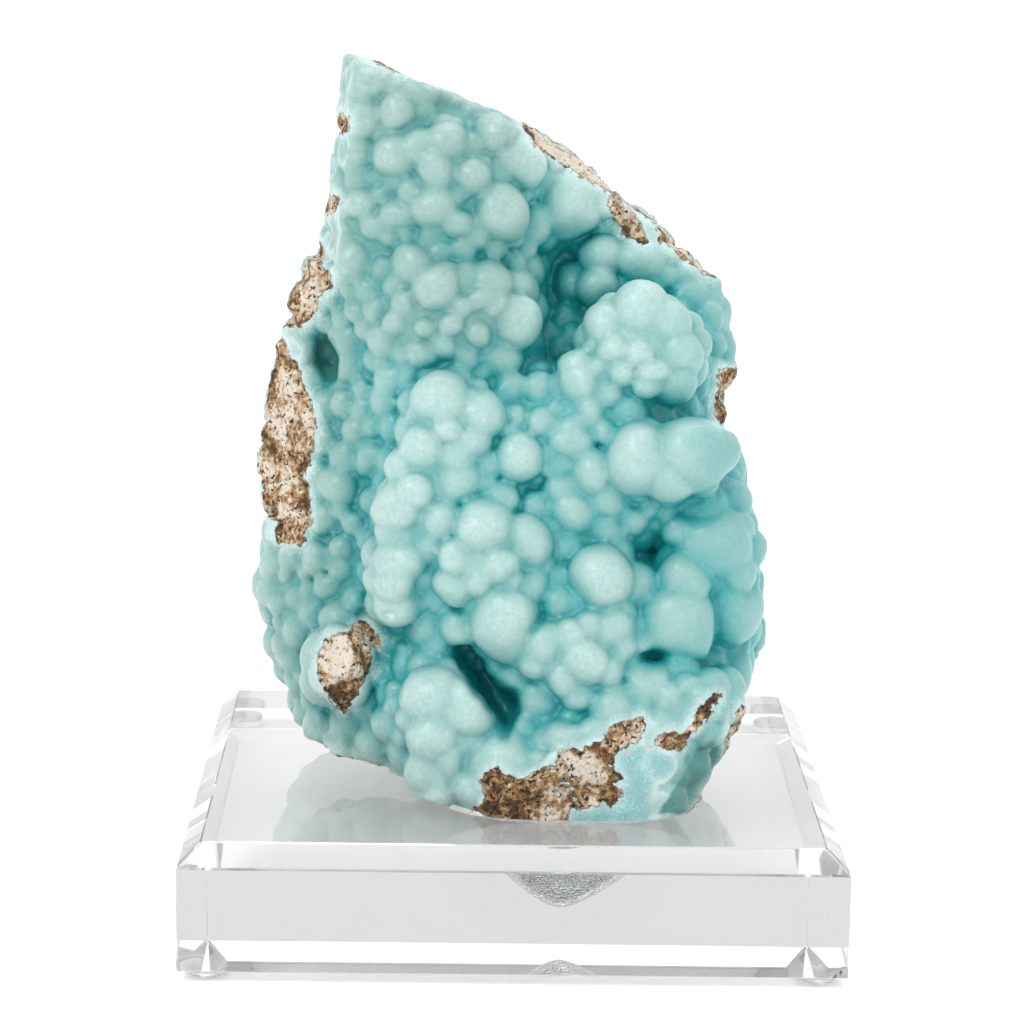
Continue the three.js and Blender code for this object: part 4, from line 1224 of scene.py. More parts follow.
# What shows bare on the front, outlined as (x, z).
PATCHES = [
    Patch("left flank", Bare.MATRIX, (
        (-47.25, 113.5), (-46.25, 112.25), (-46.75, 110.25), (-45, 109), (-43.5, 106.75), (-43.5, 104.5),
        (-42.25, 102.5), (-41.25, 100), (-41, 97.25), (-40.25, 95.75), (-41, 93.25), (-41.25, 90.5),
        (-42, 87.5), (-43.25, 85.75), (-42, 83.5), (-41.75, 80), (-41.5, 75.75), (-42.75, 74.5),
        (-43, 71.5), (-45, 72.5), (-47, 72.25), (-48.25, 73.75), (-47.25, 75.75), (-50.25, 78.5),
        (-50.5, 83.75), (-52.25, 86.25), (-52.75, 89.75), (-52, 92.75), (-51.5, 95.5), (-53, 98),
        (-52.5, 105), (-51.25, 108.5), (-50.75, 111.25), (-49, 113.25),
    )),
    Patch("stub rim", Bare.MATRIX, (
        (-39.25, 48.75), (-37.25, 52), (-33, 53.25), (-32, 55.25), (-29.75, 55.5), (-28.75, 54.25),
        (-27.5, 51.75), (-27.75, 50.75), (-29, 51.25), (-29.25, 47.5), (-29.5, 44.75), (-31, 43.25),
        (-31.75, 41), (-32.75, 39.5), (-34.25, 37), (-35.75, 38.5), (-36.75, 40), (-38.25, 41.75),
        (-39.25, 46.75),
    )),
    Patch("stub core", Bare.CORE, (
        (-39.25, 48.75), (-37.75, 51.25), (-36, 52.5), (-34, 53.25), (-32.75, 52.25), (-32.25, 50.25),
        (-32.25, 48.5), (-33.25, 45.5), (-34, 43.25), (-35.75, 41.75), (-37.5, 42), (-38.25, 44.25),
        (-39.25, 46.75),
    )),
    Patch("foot left", Bare.MATRIX, (
        (-5.75, 22.75), (-4.5, 24.5), (-2.75, 25.25), (-1.25, 23.75), (1.25, 22.75), (4, 23.25), (6.25, 25),
        (8.75, 25.75), (9.5, 24.75), (9.5, 22.25), (6.75, 20.25), (6, 19), (6.5, 17.75), (6.5, 14),
        (-10, 14), (-7.25, 16.5), (-5.25, 17.5), (-5.25, 20),
    )),
    Patch("foot cream", Bare.CORE, (
        (6.3, 14), (6.3, 19.5), (8.5, 21.5), (11.5, 21), (12.5, 17.5), (11, 14),
    )),
    Patch("foot middle cream", Bare.CORE, (
        (14, 24), (14, 28), (17, 29), (19.5, 26), (22.5, 23.5), (19, 22), (16, 22.5),
    )),
    Patch("foot middle", Bare.MATRIX, (
        (9.5, 27.5), (10.25, 29.25), (12.25, 29.5), (14.5, 29), (16.75, 30.5), (19, 31), (20.25, 33.75),
        (22.75, 35.25), (26.5, 36), (27, 34.75), (25.5, 31.75), (22.75, 30.25), (20.75, 29), (20.5, 26.75),
        (18.75, 26.5), (17.25, 28), (15, 28), (15, 26), (14, 24.75), (13.75, 23), (11.5, 22.75),
        (10.75, 24.25), (9.5, 25.25),
    )),
    Patch("foot below", Bare.MATRIX, (
        (12.75, 20.25), (13.5, 22.25), (16.25, 22.25), (17.75, 23.25), (20, 22.75), (22.25, 21.25),
        (22.25, 19.25), (20.5, 17.75), (18.75, 19), (16.75, 17.75), (15, 17.25), (12.75, 17.75), (14, 19),
    )),
    Patch("foot right", Bare.MATRIX, (
        (29.75, 31.5), (31, 32.5), (32.75, 33), (35.25, 32.75), (36.5, 34.25), (37.5, 36.25), (39, 39.25),
        (40.25, 39.75), (40.5, 37.5), (38.5, 35.75), (37, 34), (36, 32.75), (34.75, 30.25), (33.75, 30),
        (31, 30.5),
    )),
    Patch("foot right tip", Bare.MATRIX, (
        (40.25, 40), (41.5, 41.25), (42.25, 41), (41, 39.75),
    )),
    Patch("foot edge", Bare.MATRIX, (
        (47, 38.75), (48.25, 37.25), (46.75, 32), (46.5, 27), (45, 23), (42, 18.5), (40, 16.75), (38, 17),
        (39.5, 19.5), (42.3, 23.5), (43.8, 27.5), (44.4, 32.5),
    )),
    Patch("under left", Bare.MATRIX, (
        (-38, 27.8), (-34, 26.8), (-30.75, 26), (-27.5, 25), (-24.25, 23), (-24.5, 20), (-31, 20),
        (-38, 23),
    )),
    Patch("rim left", Bare.MATRIX, (
        (0.75, 158.75), (2.5, 158), (2.5, 156.75), (3, 155), (4.25, 154), (5.5, 153), (7, 151.5),
        (7.5, 150.75), (6.25, 151), (4.75, 152.25), (3, 153.75), (1.75, 155), (1, 156.25),
    )),
    Patch("rim long, pale", Bare.CORE, (
        (3, 156.5), (9, 154.5), (20, 150), (29, 143.5), (32, 138), (40, 128.5), (36, 129.5), (29.5, 135),
        (26.5, 138.5), (19, 143.5), (10, 148.5), (3, 153),
    )),
    Patch("rim long", Bare.MATRIX, (
        (5, 155), (6.5, 154.75), (8, 153.75), (9.75, 152.25), (12.25, 151), (13.5, 150.25), (16.25, 149),
        (20.25, 147), (23, 145.25), (25.75, 144), (28, 141.75), (29, 139), (28.25, 138), (27.5, 138.75),
        (25.25, 140.75), (23, 142), (20.25, 143.5), (18, 145), (15.5, 146), (14, 147.25), (12, 148.25),
        (9.5, 149.25), (8.5, 150.25), (8, 152.25), (6.5, 153.75),
    )),
    Patch("rim pocket", Bare.MATRIX, (
        (17.5, 141.25), (18.25, 142.75), (20, 142), (20.25, 140.5), (22.25, 139.25), (23.75, 137.25),
        (24.5, 135.25), (25.25, 134), (23.5, 134.25), (20.75, 135.75), (21.25, 137), (19.75, 138),
        (19, 138.75), (19.75, 139.5), (18.5, 140.5),
    )),
    Patch("rim right", Bare.MATRIX, (
        (28, 134.75), (29.5, 135.25), (31.25, 133.75), (33.75, 132), (36.5, 130.25), (37.75, 128.75),
        (39.25, 127.5), (37, 128.25), (34.5, 130), (32.25, 131.75), (30.5, 133.5),
    )),
    Patch("notch upper", Bare.MATRIX, (
        (-38.25, 141.75), (-36.5, 142), (-36, 141), (-36.75, 139.75), (-38, 139), (-38.5, 139.5),
    )),
    Patch("notch middle", Bare.MATRIX, (
        (-40.5, 131.5), (-40, 131.25), (-40, 130.5), (-40.5, 129.25), (-40.75, 127.75), (-41.5, 126.75),
        (-42.75, 126.5), (-42.75, 128.25), (-42, 129.75),
    )),
    Patch("notch right", Bare.MATRIX, (
        (-40.25, 124.5), (-39.5, 126), (-38.5, 126), (-38.5, 125), (-39.5, 124), (-40, 124),
    )),
    Patch("notch lower", Bare.MATRIX, (
        (-46.5, 125), (-44, 127.5), (-43, 131), (-40, 133), (-39, 131), (-40, 128), (-38, 127),
        (-37.5, 124.5), (-40, 122.5), (-41, 119), (-43, 116.5), (-46.5, 116.5),
    )),
    Patch("right edge", Bare.MATRIX, (
        (40.75, 108.25), (43.75, 108.25), (43.75, 106.25), (42.75, 103.25), (41.75, 99.25), (41.25, 98),
        (40.5, 98.5), (40.5, 102.25), (41, 105.25),
    )),
    Patch("crest left", Bare.MATRIX, (
        (-30.75, 170.25), (-28.75, 170.5), (-26.25, 169.75), (-22.25, 168), (-22.75, 167), (-25, 167.5),
        (-27.75, 168.75),
    )),
    Patch("crest right", Bare.MATRIX, (
        (-17.25, 167.25), (-14.75, 166.5), (-14.25, 165.75), (-16.5, 165.75),
    )),
    Patch("upper left edge", Bare.MATRIX, (
        (-35.75, 158), (-34.25, 157.5), (-34.25, 155.5), (-35.25, 155), (-36, 156.25),
    )),
    # The smooth hollows, where the pocket colour paints their shade.
    Patch("left hollow", Bare.POCKET, (
        (-41, 112), (-39.5, 114), (-37, 114), (-35.5, 111), (-35.5, 107), (-37, 104.5), (-39, 105.5),
        (-40.5, 108),
    )),
    Patch("dark pocket", Bare.POCKET, (
        (41, 32), (44, 29), (45.25, 26.25), (41.5, 19), (38.75, 16.5), (30, 16), (33, 21), (36, 26),
        (38, 30),
    )),
]


@dataclass
class Hemimorphite:
    """The stone: a crust of rounded heads on broken matrix."""

    recess: Recess
    view: Viewpoint = Viewpoint()
    seed: int = 7

    # the grid and the skin
    step: float = 0.7
    quick_factor: float = 1.5
    low: Vec3 = (-60.0, -50.0, 5.5)
    high: Vec3 = (60.0, 38.0, 176.0)
    most_triangles: int = 194000

    # the large form
    outline_inset: float = 2.2
    rim_rounding: float = 15.0
    rim_depth: float = 6.0
    least_front: float = 3.0
    back_depth: float = 34.0
    relief_reach: float = 9.0
    table_step: float = 0.75
    cushion_limit: float = 12.0
    lobe_blend: float = 4.5
    lobe_inset: float = 2.4
    pocket_blend: float = 2.0
    pocket_outset: float = 0.8

    # the heads
    sight_end: float = 14.0
    sight_step: float = 0.25
    cap: float = 0.56
    spread: float = 1.12
    cleft_rise: float = 1.0
    base_rise: float = 0.6
    head_blend: float = 0.15
    base_blend: float = 0.2
    no_crust: float = 8.0
    scattered: Vec2 = (2.15, 4.4)
    scattered_power: float = 1.5
    scattered_facing: float = -0.4
    pocket_margin: float = 1.0
    crowding: float = 0.73
    tries: int = 60000

    # unevenness: clouds given as (height, size), and depths in mm
    bend: Vec2 = (0.85, 7.0)
    crack_bend: float = 1.6
    uneven: Layers = ((0.28, 5.5), (0.12, 2.6))
    rubble: Layers = ((0.75, 8.0), (0.45, 3.2), (0.3, 1.7))
    rubble_depth: float = 1.1
    crumble_size: float = 2.4
    crumble_depth: float = 1.2
    crumbled_between: Vec2 = (-0.3, 0.6)

    # between the ground foot and the recess
    seat_gap: float = 0.5

    # how open a point lies
    room_steps: Vec3 = (1.5, 3.0, 5.0)
    least_room: float = -0.2
    knob_width: float = 5.0
    swelling_width: float = 15.0
    swelling_clip: float = 9.0
    most_swelling: float = 2.1
    sky_directions: int = 26
    sky_steps: tuple[float, ...] = (1.5, 3.5, 6.5, 10.0, 15.0, 22.0, 30.0)
    sky_start: float = 1.2
    sky_narrowness: float = 0.1
    sky_always: float = 0.5
    least_cosine: float = 0.05

    # where crust, matrix and cream show, between a value that starts it and one where it is whole
    crust_thickness: float = 7.0
    longest_fibre: float = 8.0
    painted_depth: Vec2 = (-1.0, 12.0)
    painted_reach: float = 6.0
    waver: Layers = ((2.2, 9.0), (1.2, 3.5))
    turned_away: Vec2 = (-0.35, -0.1)
    toward_front: Vec2 = (0.0, 0.14)
    toward_back: Vec2 = (0.5, 0.9)
    low_down: Vec2 = (-60.0, -40.0)
    low_matrix: float = 5.0
    creamy: Vec2 = (0.9, 2.4)
    cream_rise: float = 7.0

    def relief(self, x: Array, z: Array) -> Array:
        """The y of the front: the posts' depths, each weighted by exp(-distance^2 / 2 reach^2).

        Args:
            x, z: Places on the upright plane.

        Returns:
            The front's y at each place.
        """
        total = np.zeros(x.shape)
        weights = np.zeros(x.shape)
        for px, pz, depth in RELIEF:
            square = (x - px) ** 2 + (z - pz) ** 2
            weight = np.exp(-square / (2 * self.relief_reach ** 2)) + 1e-12 / (1 + square)
            total += weight * depth
            weights += weight
        return total / weights

    def cushion(self, x: Array, y: Array, z: Array) -> Array:
        """The body under the lobes: full inside the outline, rounding over near its rim.

        Across, a point counts 1 at the outline and 0 at the rim rounding's inner end; along y it
        counts 1 on the front's relief or on the back. Their hypotenuse is 1 on the surface.

        Args:
            x, y, z: Where the points are.

        Returns:
            About the distance from the body, below zero inside it.
        """
        inside = PlaneTable(self.table_step, lambda px, pz: distance_in(px, pz, OUTLINE))
        front_y = PlaneTable(self.table_step, self.relief)
        place = self.view.to_plane(x, y, z)
        front = self.rim_depth - np.minimum(front_y.read(*place), self.rim_depth - self.least_front)
        depth = np.where(y < self.rim_depth, front, self.back_depth - self.rim_depth)
        across = np.maximum(1 - (inside.read(*place) - self.outline_inset) / self.rim_rounding, 0)
        along = np.abs(y - self.rim_depth) / depth
        radius = np.hypot(across, along) + 1e-6
        slope = np.hypot(across / self.rim_rounding, along / depth) / radius + 1e-4
        return np.clip((radius - 1) / slope, -self.cushion_limit, self.cushion_limit)

    def large_form(self, grid: Grid) -> Array:
        """Cushion and lobes together, less the pockets.

        Args:
            grid: The grid.

        Returns:
            The field of the large forms.
        """
        x, y, z = np.broadcast_arrays(*grid.points())
        value = self.cushion(x, y, z).astype(np.float32)
        for lobe in LOBES:
            log.debug("lobe: %s", lobe.name)
            value = blend_union(value, lobe.distance(*grid.points()) + self.lobe_inset, self.lobe_blend)
        for pocket in POCKETS + CRACKS:
            hollow = pocket.distance(*grid.points()) - self.pocket_outset
            value = -blend_union(-value, hollow, self.pocket_blend)
        return value.astype(np.float32)

    def first_surface(self, grid: Grid, body: Array, x: Array, z: Array) -> Array:
        """The depth at which each sight line first enters the body, or nan.

        Args:
            grid: The grid.
            body: The field of the large forms.
            x, z: Where the sight lines cross the upright plane.

        Returns:
            The depths, as y.
        """
        depths = np.arange(self.low[1] + 1, self.sight_end, self.sight_step)
        inside = np.stack([grid.read(body, self.view.along(x, z, d)) < 0 for d in depths])
        first = inside.argmax(0)
        return np.where(inside.any(0), depths[first], np.nan)

    def seat_heads(self, grid: Grid, body: Array) -> tuple[Array, Array, Array]:
        """The listed heads, each seated where its sight line meets the body, plus its lift.

        Args:
            grid: The grid.
            body: The field of the large forms.

        Returns:
            The heads' seats, their radii, and the centres of their balls.
        """
        x, z, radius, lift = np.array([(*head, 0)[:4] for head in HEADS + SMALL_HEADS], float).T
        y = self.first_surface(grid, body, x, z) - lift * radius
        radius = radius * self.spread
        met = ~np.isnan(y)
        x, z, y, radius = x[met], z[met], y[met], radius[met]
        _, sunk = self.ball_under(radius)
        return self.view.along(x, z, y), radius, self.view.along(x, z, y + sunk)

    def ball_under(self, radius: Array) -> tuple[Array, Array]:
        """The ball whose cap shows as a head of a radius where it meets its neighbours.

        The cap is t high, a share of the head's radius r. The ball's radius is then
        (r^2 + t^2) / 2t, and its centre lies that far below the crown.

        Args:
            radius: The heads' radii.

        Returns:
            The ball's radius, and how far its centre lies below the body's surface.
        """
        height = self.cap * radius
        ball = (radius ** 2 + height ** 2) / (2 * height)
        return ball, ball - height - self.cleft_rise

    def scatter_heads(self, grid: Grid, body: Array, seats: Array, taken: Array,
                      rng: np.random.Generator) -> tuple[Array, Array]:
        """Crowded heads over the rest of the body.

        Places are drawn over the skin of the body and tried the largest head first. One is kept
        where it is no nearer to each head before it than a share of their radii together, so
        that small heads come to fill the gaps between large ones.

        Args:
            grid: The grid.
            body: The field of the large forms.
            seats: Where the listed heads are.
            taken: Their radii.
            rng: Where the draws come from.

        Returns:
            The heads' radii, and the centres of their balls.
        """
        points, _ = skin_of(grid, body)
        points = points[self.view.facing(points, grid.slope(body, points)) > self.scattered_facing]
        places = points[rng.integers(len(points), size=self.tries)]
        low, high = self.scattered
        radii = low + (high - low) * np.sort(rng.uniform(0, 1, len(places)))[::-1] ** self.scattered_power
        x, z = self.view.to_plane(*places.T)
        smooth = [p.outline for p in PATCHES if p.shows is Bare.POCKET]
        free = np.all([distance_in(x, z, outline) < self.pocket_margin for outline in smooth], axis=0)
        for seat, radius in zip(seats, taken):
            free &= np.linalg.norm(places - seat, axis=1) > self.crowding * (radius + radii)
        places, radii = places[free], radii[free]
        kept = []
        while len(places):
            kept.append((places[0], radii[0]))
            far = np.linalg.norm(places - places[0], axis=1) > self.crowding * (radii[0] + radii)
            far[0] = False
            places, radii = places[far], radii[far]
        places, radii = (np.array(column) for column in zip(*kept))
        _, sunk = self.ball_under(radii)
        return radii, places - grid.slope(body, places) * sunk[:, None]

    def grown(self, grid: Grid, rng: np.random.Generator) -> Array:
        """The field of the stone as it grew: body, heads and cracks, a little uneven.

        Args:
            grid: The grid.
            rng: Where the draws come from.

        Returns:
            The field, below zero inside.
        """
        body = self.large_form(grid)
        seats, taken, by_hand = self.seat_heads(grid, body)
        radii, scattered = self.scatter_heads(grid, body, seats, taken, rng)
        log.info("heads: %d by hand, %d scattered", len(by_hand), len(scattered))
        height, size = self.bend
        bend = [height * grid.clouds(size, rng) for _ in range(3)]
        crust = np.full(body.shape, self.no_crust, np.float32)
        balls, _ = self.ball_under(np.concatenate([radii, taken]))
        for centre, ball in zip(np.concatenate([scattered, by_hand]), balls):
            grid.add_ball(crust, centre, ball, self.head_blend, bend)
        value = blend_union(body - self.base_rise, crust, self.base_blend).astype(np.float32)
        aside = [axis + self.crack_bend * b for axis, b in zip(grid.points(), bend)]
        for crack in CRACKS:
            value = -blend_union(-value, crack.distance(*aside), self.pocket_blend)
        return value + grid.layers(self.uneven, rng)

    def mesh_points(self) -> tuple[Grid, Array, Array, Array, Array]:
        """Grow, break and grind the stone, and skin it.

        Returns:
            The grid, the field as grown, the field at last, and the skin's points and faces.
        """
        rng = np.random.default_rng(self.seed)
        grid = Grid(self.low, self.high, self.step * (1.0))
        grown = self.grown(grid, rng)
        rubble = grid.layers(self.rubble, rng) + self.rubble_depth
        value = grown.copy()
        for face in BREAKS:
            log.debug("broken away: %s", face.name)
            value = np.maximum(value, face.outside(*grid.points(), rubble))
        x, y, z = grid.points()
        above = self.recess.brim + self.seat_gap - z
        ground = np.minimum(above, self.recess.outside(x, y, z, self.seat_gap))
        value = np.maximum(value, ground).astype(np.float32)
        part_touching(value)
        points, faces = thinned(*largest_stretch(*skin_of(grid, value)), self.most_triangles)
        return grid, grown, value, points, faces

    def open_sky(self, grid: Grid, value: Array, points: Array, normals: Array) -> Array:
        """The share of the sky over each point that reaches it, from 0 to 1.

        Directions are spread evenly over the sphere, each weighted by its cosine with the
        normal. Along one, the way is as open as its tightest place: half, and the distance to
        the stone there over a tenth of the distance gone.

        Args:
            grid: The grid.
            value: The stone's field.
            points: The skin's points, one row each.
            normals: Their normals.

        Returns:
            The share at each point.
        """
        total = np.zeros(len(points))
        weights = np.zeros(len(points))
        start = points + normals * self.sky_start
        for i in range(self.sky_directions):
            height = 1 - (2 * i + 1) / self.sky_directions
            turn = i * math.pi * (3 - math.sqrt(5))
            flat = math.sqrt(1 - height * height)
            ahead = np.array([flat * math.cos(turn), flat * math.sin(turn), height])
            weight = np.maximum(normals @ ahead, 0)
            used = np.flatnonzero(weight > self.least_cosine)
            way = np.ones(len(used))
            for far in self.sky_steps:
                room = grid.read(value, start[used] + ahead * far) / (self.sky_narrowness * far)
                way = np.minimum(way, room + self.sky_always)
            total[used] += weight[used] * np.clip(way, 0, 1)
            weights[used] += weight[used]
        return total / np.maximum(weights, 1e-6)

    def bare_places(self, grid: Grid, points: Array, normals: Array, depth: Array) -> dict[str, Array]:
        """How far in mm each point lies inside the bare places of each kind.

        The front's places are outlined, and fade out where the stone turns away. Behind, matrix
        shows where the break is deeper than the crust is thick, and less deep low down. It
        turns to cream in clouds.

        Args:
            grid: The grid.
            points: The skin's points, one row each.
            normals: Their normals.
            depth: How far below the grown crust they lie.

        Returns:
            The fields bare, cream and pocket.
        """
        most = self.painted_reach
        x, z = self.view.to_plane(*points.T)
        facing = self.view.facing(points, normals)
        hidden = most * (1 - smoothstep(facing, *self.turned_away))
        fields = {name: np.full(len(points), -most) for kind in Bare for name in kind.value}
        for patch in PATCHES:
            log.debug("bare place: %s", patch.name)
            inside = distance_in(x, z, patch.outline) - hidden
            for name in patch.shows.value:
                fields[name] = np.maximum(fields[name], inside)
        rng = np.random.default_rng(self.seed + 1)
        waver = grid.read(grid.layers(self.waver, rng), points)
        behind = depth - self.crust_thickness + waver - most * smoothstep(facing, *self.toward_front)
        backward = smoothstep(normals[:, 1], *self.toward_back)
        behind = behind + self.low_matrix * backward * smoothstep(-z, *self.low_down)
        fields["bare"] = np.clip(np.maximum(fields["bare"], behind), -most, most)
        cream = self.cream_rise * smoothstep(waver, *self.creamy) - most
        fields["cream"] = np.maximum(fields["cream"], cream)
        return fields

    def paint(self, grid: Grid, grown: Array, value: Array, points: Array) -> dict[str, Array]:
        """What each point of the skin is, as named fields for the finish.

        Args:
            grid: The grid.
            grown: The field of the stone as it grew.
            value: The stone's field.
            points: The skin's points, one row each.

        Returns:
            openness: how much room there is close in front of a point, 0 in a cleft, 1 on a crown; the
                finish paints shade in clefts from it.
            sky: how much of the sky reaches it, low deep in a hollow; the finish paints shade in hollows
                from it.
            knob, swelling: how far it stands out of its surroundings, near and wide, in mm; the finish
                paints light on what stands out from them.
            depth: how far below the grown crust it lies, in mm.
            root: the point of the grown crust above each place, along which fibres keep their tone.
            bare, cream, pocket: distance in mm inside the bare places of each kind.
        """
        normals = grid.slope(value, points)
        room = [grid.read(value, points + normals * d) / d for d in self.room_steps]
        wide = grid.blurred(np.clip(value, -self.swelling_clip, self.swelling_clip), self.swelling_width)
        depth = -grid.read(grown, points)
        fibre = np.clip(depth, 0, self.longest_fibre)[:, None]
        return {
            "openness": np.mean(np.clip(room, self.least_room, 1), axis=0),
            "sky": self.open_sky(grid, value, points, normals),
            "knob": grid.read(grid.blurred(value, self.knob_width), points),
            "swelling": np.minimum(grid.read(wide, points), self.most_swelling),
            "depth": np.clip(depth, *self.painted_depth),
            "root": (points + grid.slope(grown, points) * fibre) / METRE,
            **self.bare_places(grid, points, normals, depth),
        }

    def crumbled(self, grid: Grid, value: Array, points: Array, bare: Array) -> Array:
        """The points, sunk unevenly along the field's slope where they are bare.

        Args:
            grid: The grid.
            value: The stone's field.
            points: The skin's points, one row each.
            bare: How far they lie inside the bare places.

        Returns:
            The points as moved.
        """
        rng = np.random.default_rng(self.seed + 2)
        crumbs = grid.read(grid.clouds(self.crumble_size, rng), points)
        sunk = np.clip(self.crumble_depth + crumbs, 0, 2 * self.crumble_depth) * 0.5
        sunk *= smoothstep(bare, *self.crumbled_between)
        return points - grid.slope(value, points) * sunk[:, None]

    def build(self) -> bpy.types.Object:
        """Make the stone's piece, painted and finished.

        Returns:
            The piece.
        """
        grid, grown, value, points, faces = self.mesh_points()
        fields = self.paint(grid, grown, value, points)
        low, high = (np.array(corner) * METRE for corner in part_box("hemimorphite"))
        log.info("beyond the box: %s under, %s over", low - points.min(0), points.max(0) - high)
        points = np.clip(self.crumbled(grid, value, points, fields["bare"]), low, high)
        stone = add_piece("stone", points, faces, "hemimorphite", "hemimorphite")
        for name, values in fields.items():
            kind, key = ("FLOAT_VECTOR", "vector") if values.ndim == 2 else ("FLOAT", "value")
            layer = stone.data.attributes.new(name, kind, "POINT")
            layer.data.foreach_set(key, values.astype(np.float32).ravel())
        stone.data.materials.append(HemimorphiteFinish().material())
        return stone


# ---------------------------------------------------------------- acrylic block and bumpers

@dataclass
class AcrylicBlock:
    """The square block, bevelled round its top, with the recess ground into it."""

    recess: Recess
    half: float = 63.5
    underside: float = 2.2
    bevel_foot: float = 22.4
    brim: float = 26.5
    bevel_run: float = 4.35
    edge: float = 0.2
    corner: float = 0.5
    side_points: int = 40
    corner_points: int = 5
    dish_rings: int = 15
    bowl_rings: int = 12
    sharp_degrees: float = 12.0

    def square(self) -> tuple[Array, Array]:
        """A square ring of half size one, as its straight part and its corner part.

        Returns:
            Directions to the corners' centres, and the turn of each point about its own, so
            that a ring of half size a is (a - corner) times the first plus corner times the
            second.
        """
        turn = np.linspace(0, math.pi / 2, self.corner_points)
        along = np.linspace(1, -1, self.side_points + 2)[1:-1]
        centres, turned = [], []
        for quarter in range(4):
            cos, sin = math.cos(quarter * math.pi / 2), math.sin(quarter * math.pi / 2)
            spin = np.array([[cos, sin], [-sin, cos]])
            round_corner = np.stack([np.cos(turn), np.sin(turn)], 1)
            centres.append(np.broadcast_to([1.0, 1.0], round_corner.shape) @ spin)
            turned.append(round_corner @ spin)
            straight = np.stack([along, np.ones_like(along)], 1)
            centres.append(straight @ spin)
            turned.append(np.broadcast_to([0.0, 1.0], straight.shape) @ spin)
        return np.concatenate(centres), np.concatenate(turned)

    def rings(self) -> tuple[Array, int]:
        """The block's profile as rings of points, from under it, up, over and into the recess.

        The recess's rings keep the bearing that each point of the square has from the recess's
        middle, so that the top between them is one flat band. With u from 0 to 1 over each run
        of rings, their heights fall along (1 - u)^2 in the dish and along 1 - sin^1.5 of u
        quarter turns in the pit, which crowds them where the wall is flattest.

        Returns:
            Points shaped ring, place, axis, and the number of the first ring of the recess.
        """
        centres, turned = self.square()
        inner = self.half - self.bevel_run
        profile = [
            (self.half - self.edge, self.underside), (self.half, self.underside + self.edge),
            (self.half, self.bevel_foot - self.edge), (self.half - self.edge, self.bevel_foot + self.edge),
            (inner + self.edge, self.brim - self.edge), (inner - self.edge, self.brim),
        ]
        rings = []
        for half, height in profile:
            flat = (half - self.corner) * centres + self.corner * turned
            rings.append(np.column_stack([flat, np.full(len(flat), height)]))
        middle = np.array([self.recess.x, self.recess.y])
        bearing = rings[-1][:, :2] - middle
        bearing = bearing / np.linalg.norm(bearing, axis=1, keepdims=True)
        size = np.array([self.recess.half_width, self.recess.half_depth])
        rim = bearing / self.recess.squareness(*(bearing / size).T)[:, None]
        rings.append(np.column_stack([middle + rim, np.full(len(rim), self.brim)]))
        pit = self.recess.pit_height
        dish = pit + (1 - pit) * (1 - np.linspace(0, 1, self.dish_rings + 1)[1:]) ** 2
        bowl = pit * (1 - np.sin(np.linspace(0, math.pi / 2, self.bowl_rings + 1)[1:]) ** 1.5)
        for height in self.recess.floor + (self.brim - self.recess.floor) * np.concatenate([dish, bowl]):
            reach = self.recess.reach(np.array(height))
            flat = middle + [self.recess.lean * (1 - reach), 0] + rim * reach
            rings.append(np.column_stack([flat, np.full(len(rim), height)]))
        return np.stack(rings), len(profile)

    def build(self) -> bpy.types.Object:
        """Make the block's piece: bands between its rings, closed by a fan at each end.

        Returns:
            The piece.
        """
        rings, first_ground = self.rings()
        count, around, _ = rings.shape
        pit = self.recess.x + self.recess.lean, self.recess.y, self.recess.floor
        solid = lofted(rings, [(0, 0, self.underside), pit])
        block = add_piece("acrylic_block", *solid, "acrylic", "acrylic_base")
        block.data.set_sharp_from_angle(angle=math.radians(self.sharp_degrees))
        block.data.materials.append(AcrylicFinish().material())
        ground = np.zeros(len(block.data.polygons), np.float32)
        ground[first_ground * around:(count - 1) * around] = 1
        ground[count * around:] = 1
        block.data.attributes.new("ground", "FLOAT", "FACE").data.foreach_set("value", ground)
        return block


@dataclass
class Bumpers:
    """The four low clear domes under the block's corners."""

    radius: float = 3.95
    height: float = 2.2
    gap: float = 0.03
    centre: float = 57.95
    around: int = 40

    # The half profile: radii as parts of the radius, and how high up the side is at its widest.
    sole: float = 0.3
    foot: float = 0.62
    swell: float = 0.38
    crown: Vec2 = (0.97, 0.5)
    widest_at: float = 0.72
    side_rings: int = 9

    def dome(self, x: float, y: float) -> tuple[Array, Array]:
        """A turned dome: its half profile goes from the floor's flat, round the side, to the top.

        Along the side a runs from 0 to a quarter turn. The radius is foot + swell sin a, and the
        height rises along 1 - cos a.

        Args:
            x, y: Where its middle stands.

        Returns:
            Points and faces of the closed solid.
        """
        a = np.linspace(0, math.pi / 2, self.side_rings)
        side = self.foot + self.swell * np.sin(a)
        radii = self.radius * np.concatenate([[self.sole], side, self.crown])
        top = self.height - self.gap
        heights = np.concatenate([[0], self.widest_at * top * (1 - np.cos(a)), [top, top]])
        turn = np.linspace(0, 2 * math.pi, self.around, endpoint=False)
        rings = np.stack([
            x + radii[:, None] * np.cos(turn), y + radii[:, None] * np.sin(turn),
            np.broadcast_to(heights[:, None], (len(radii), self.around)),
        ], -1)
        return lofted(rings, [(x, y, 0), (x, y, top)])

    def build(self) -> list[bpy.types.Object]:
        """Make the four bumpers.

        Returns:
            The four pieces.
        """
        material = BumperFinish().material()
        pieces = []
        for end, y in (("front", -self.centre), ("back", self.centre)):
            for side, x in (("left", -self.centre), ("right", self.centre)):
                place = f"{end}_{side}"
                piece = add_piece(f"bumper_{place}", *self.dome(x, y), "bumper", f"bumper_foot_{place}")
                piece.data.materials.append(material)
                pieces.append(piece)
        return pieces


# ---------------------------------------------------------------- floor, light and camera

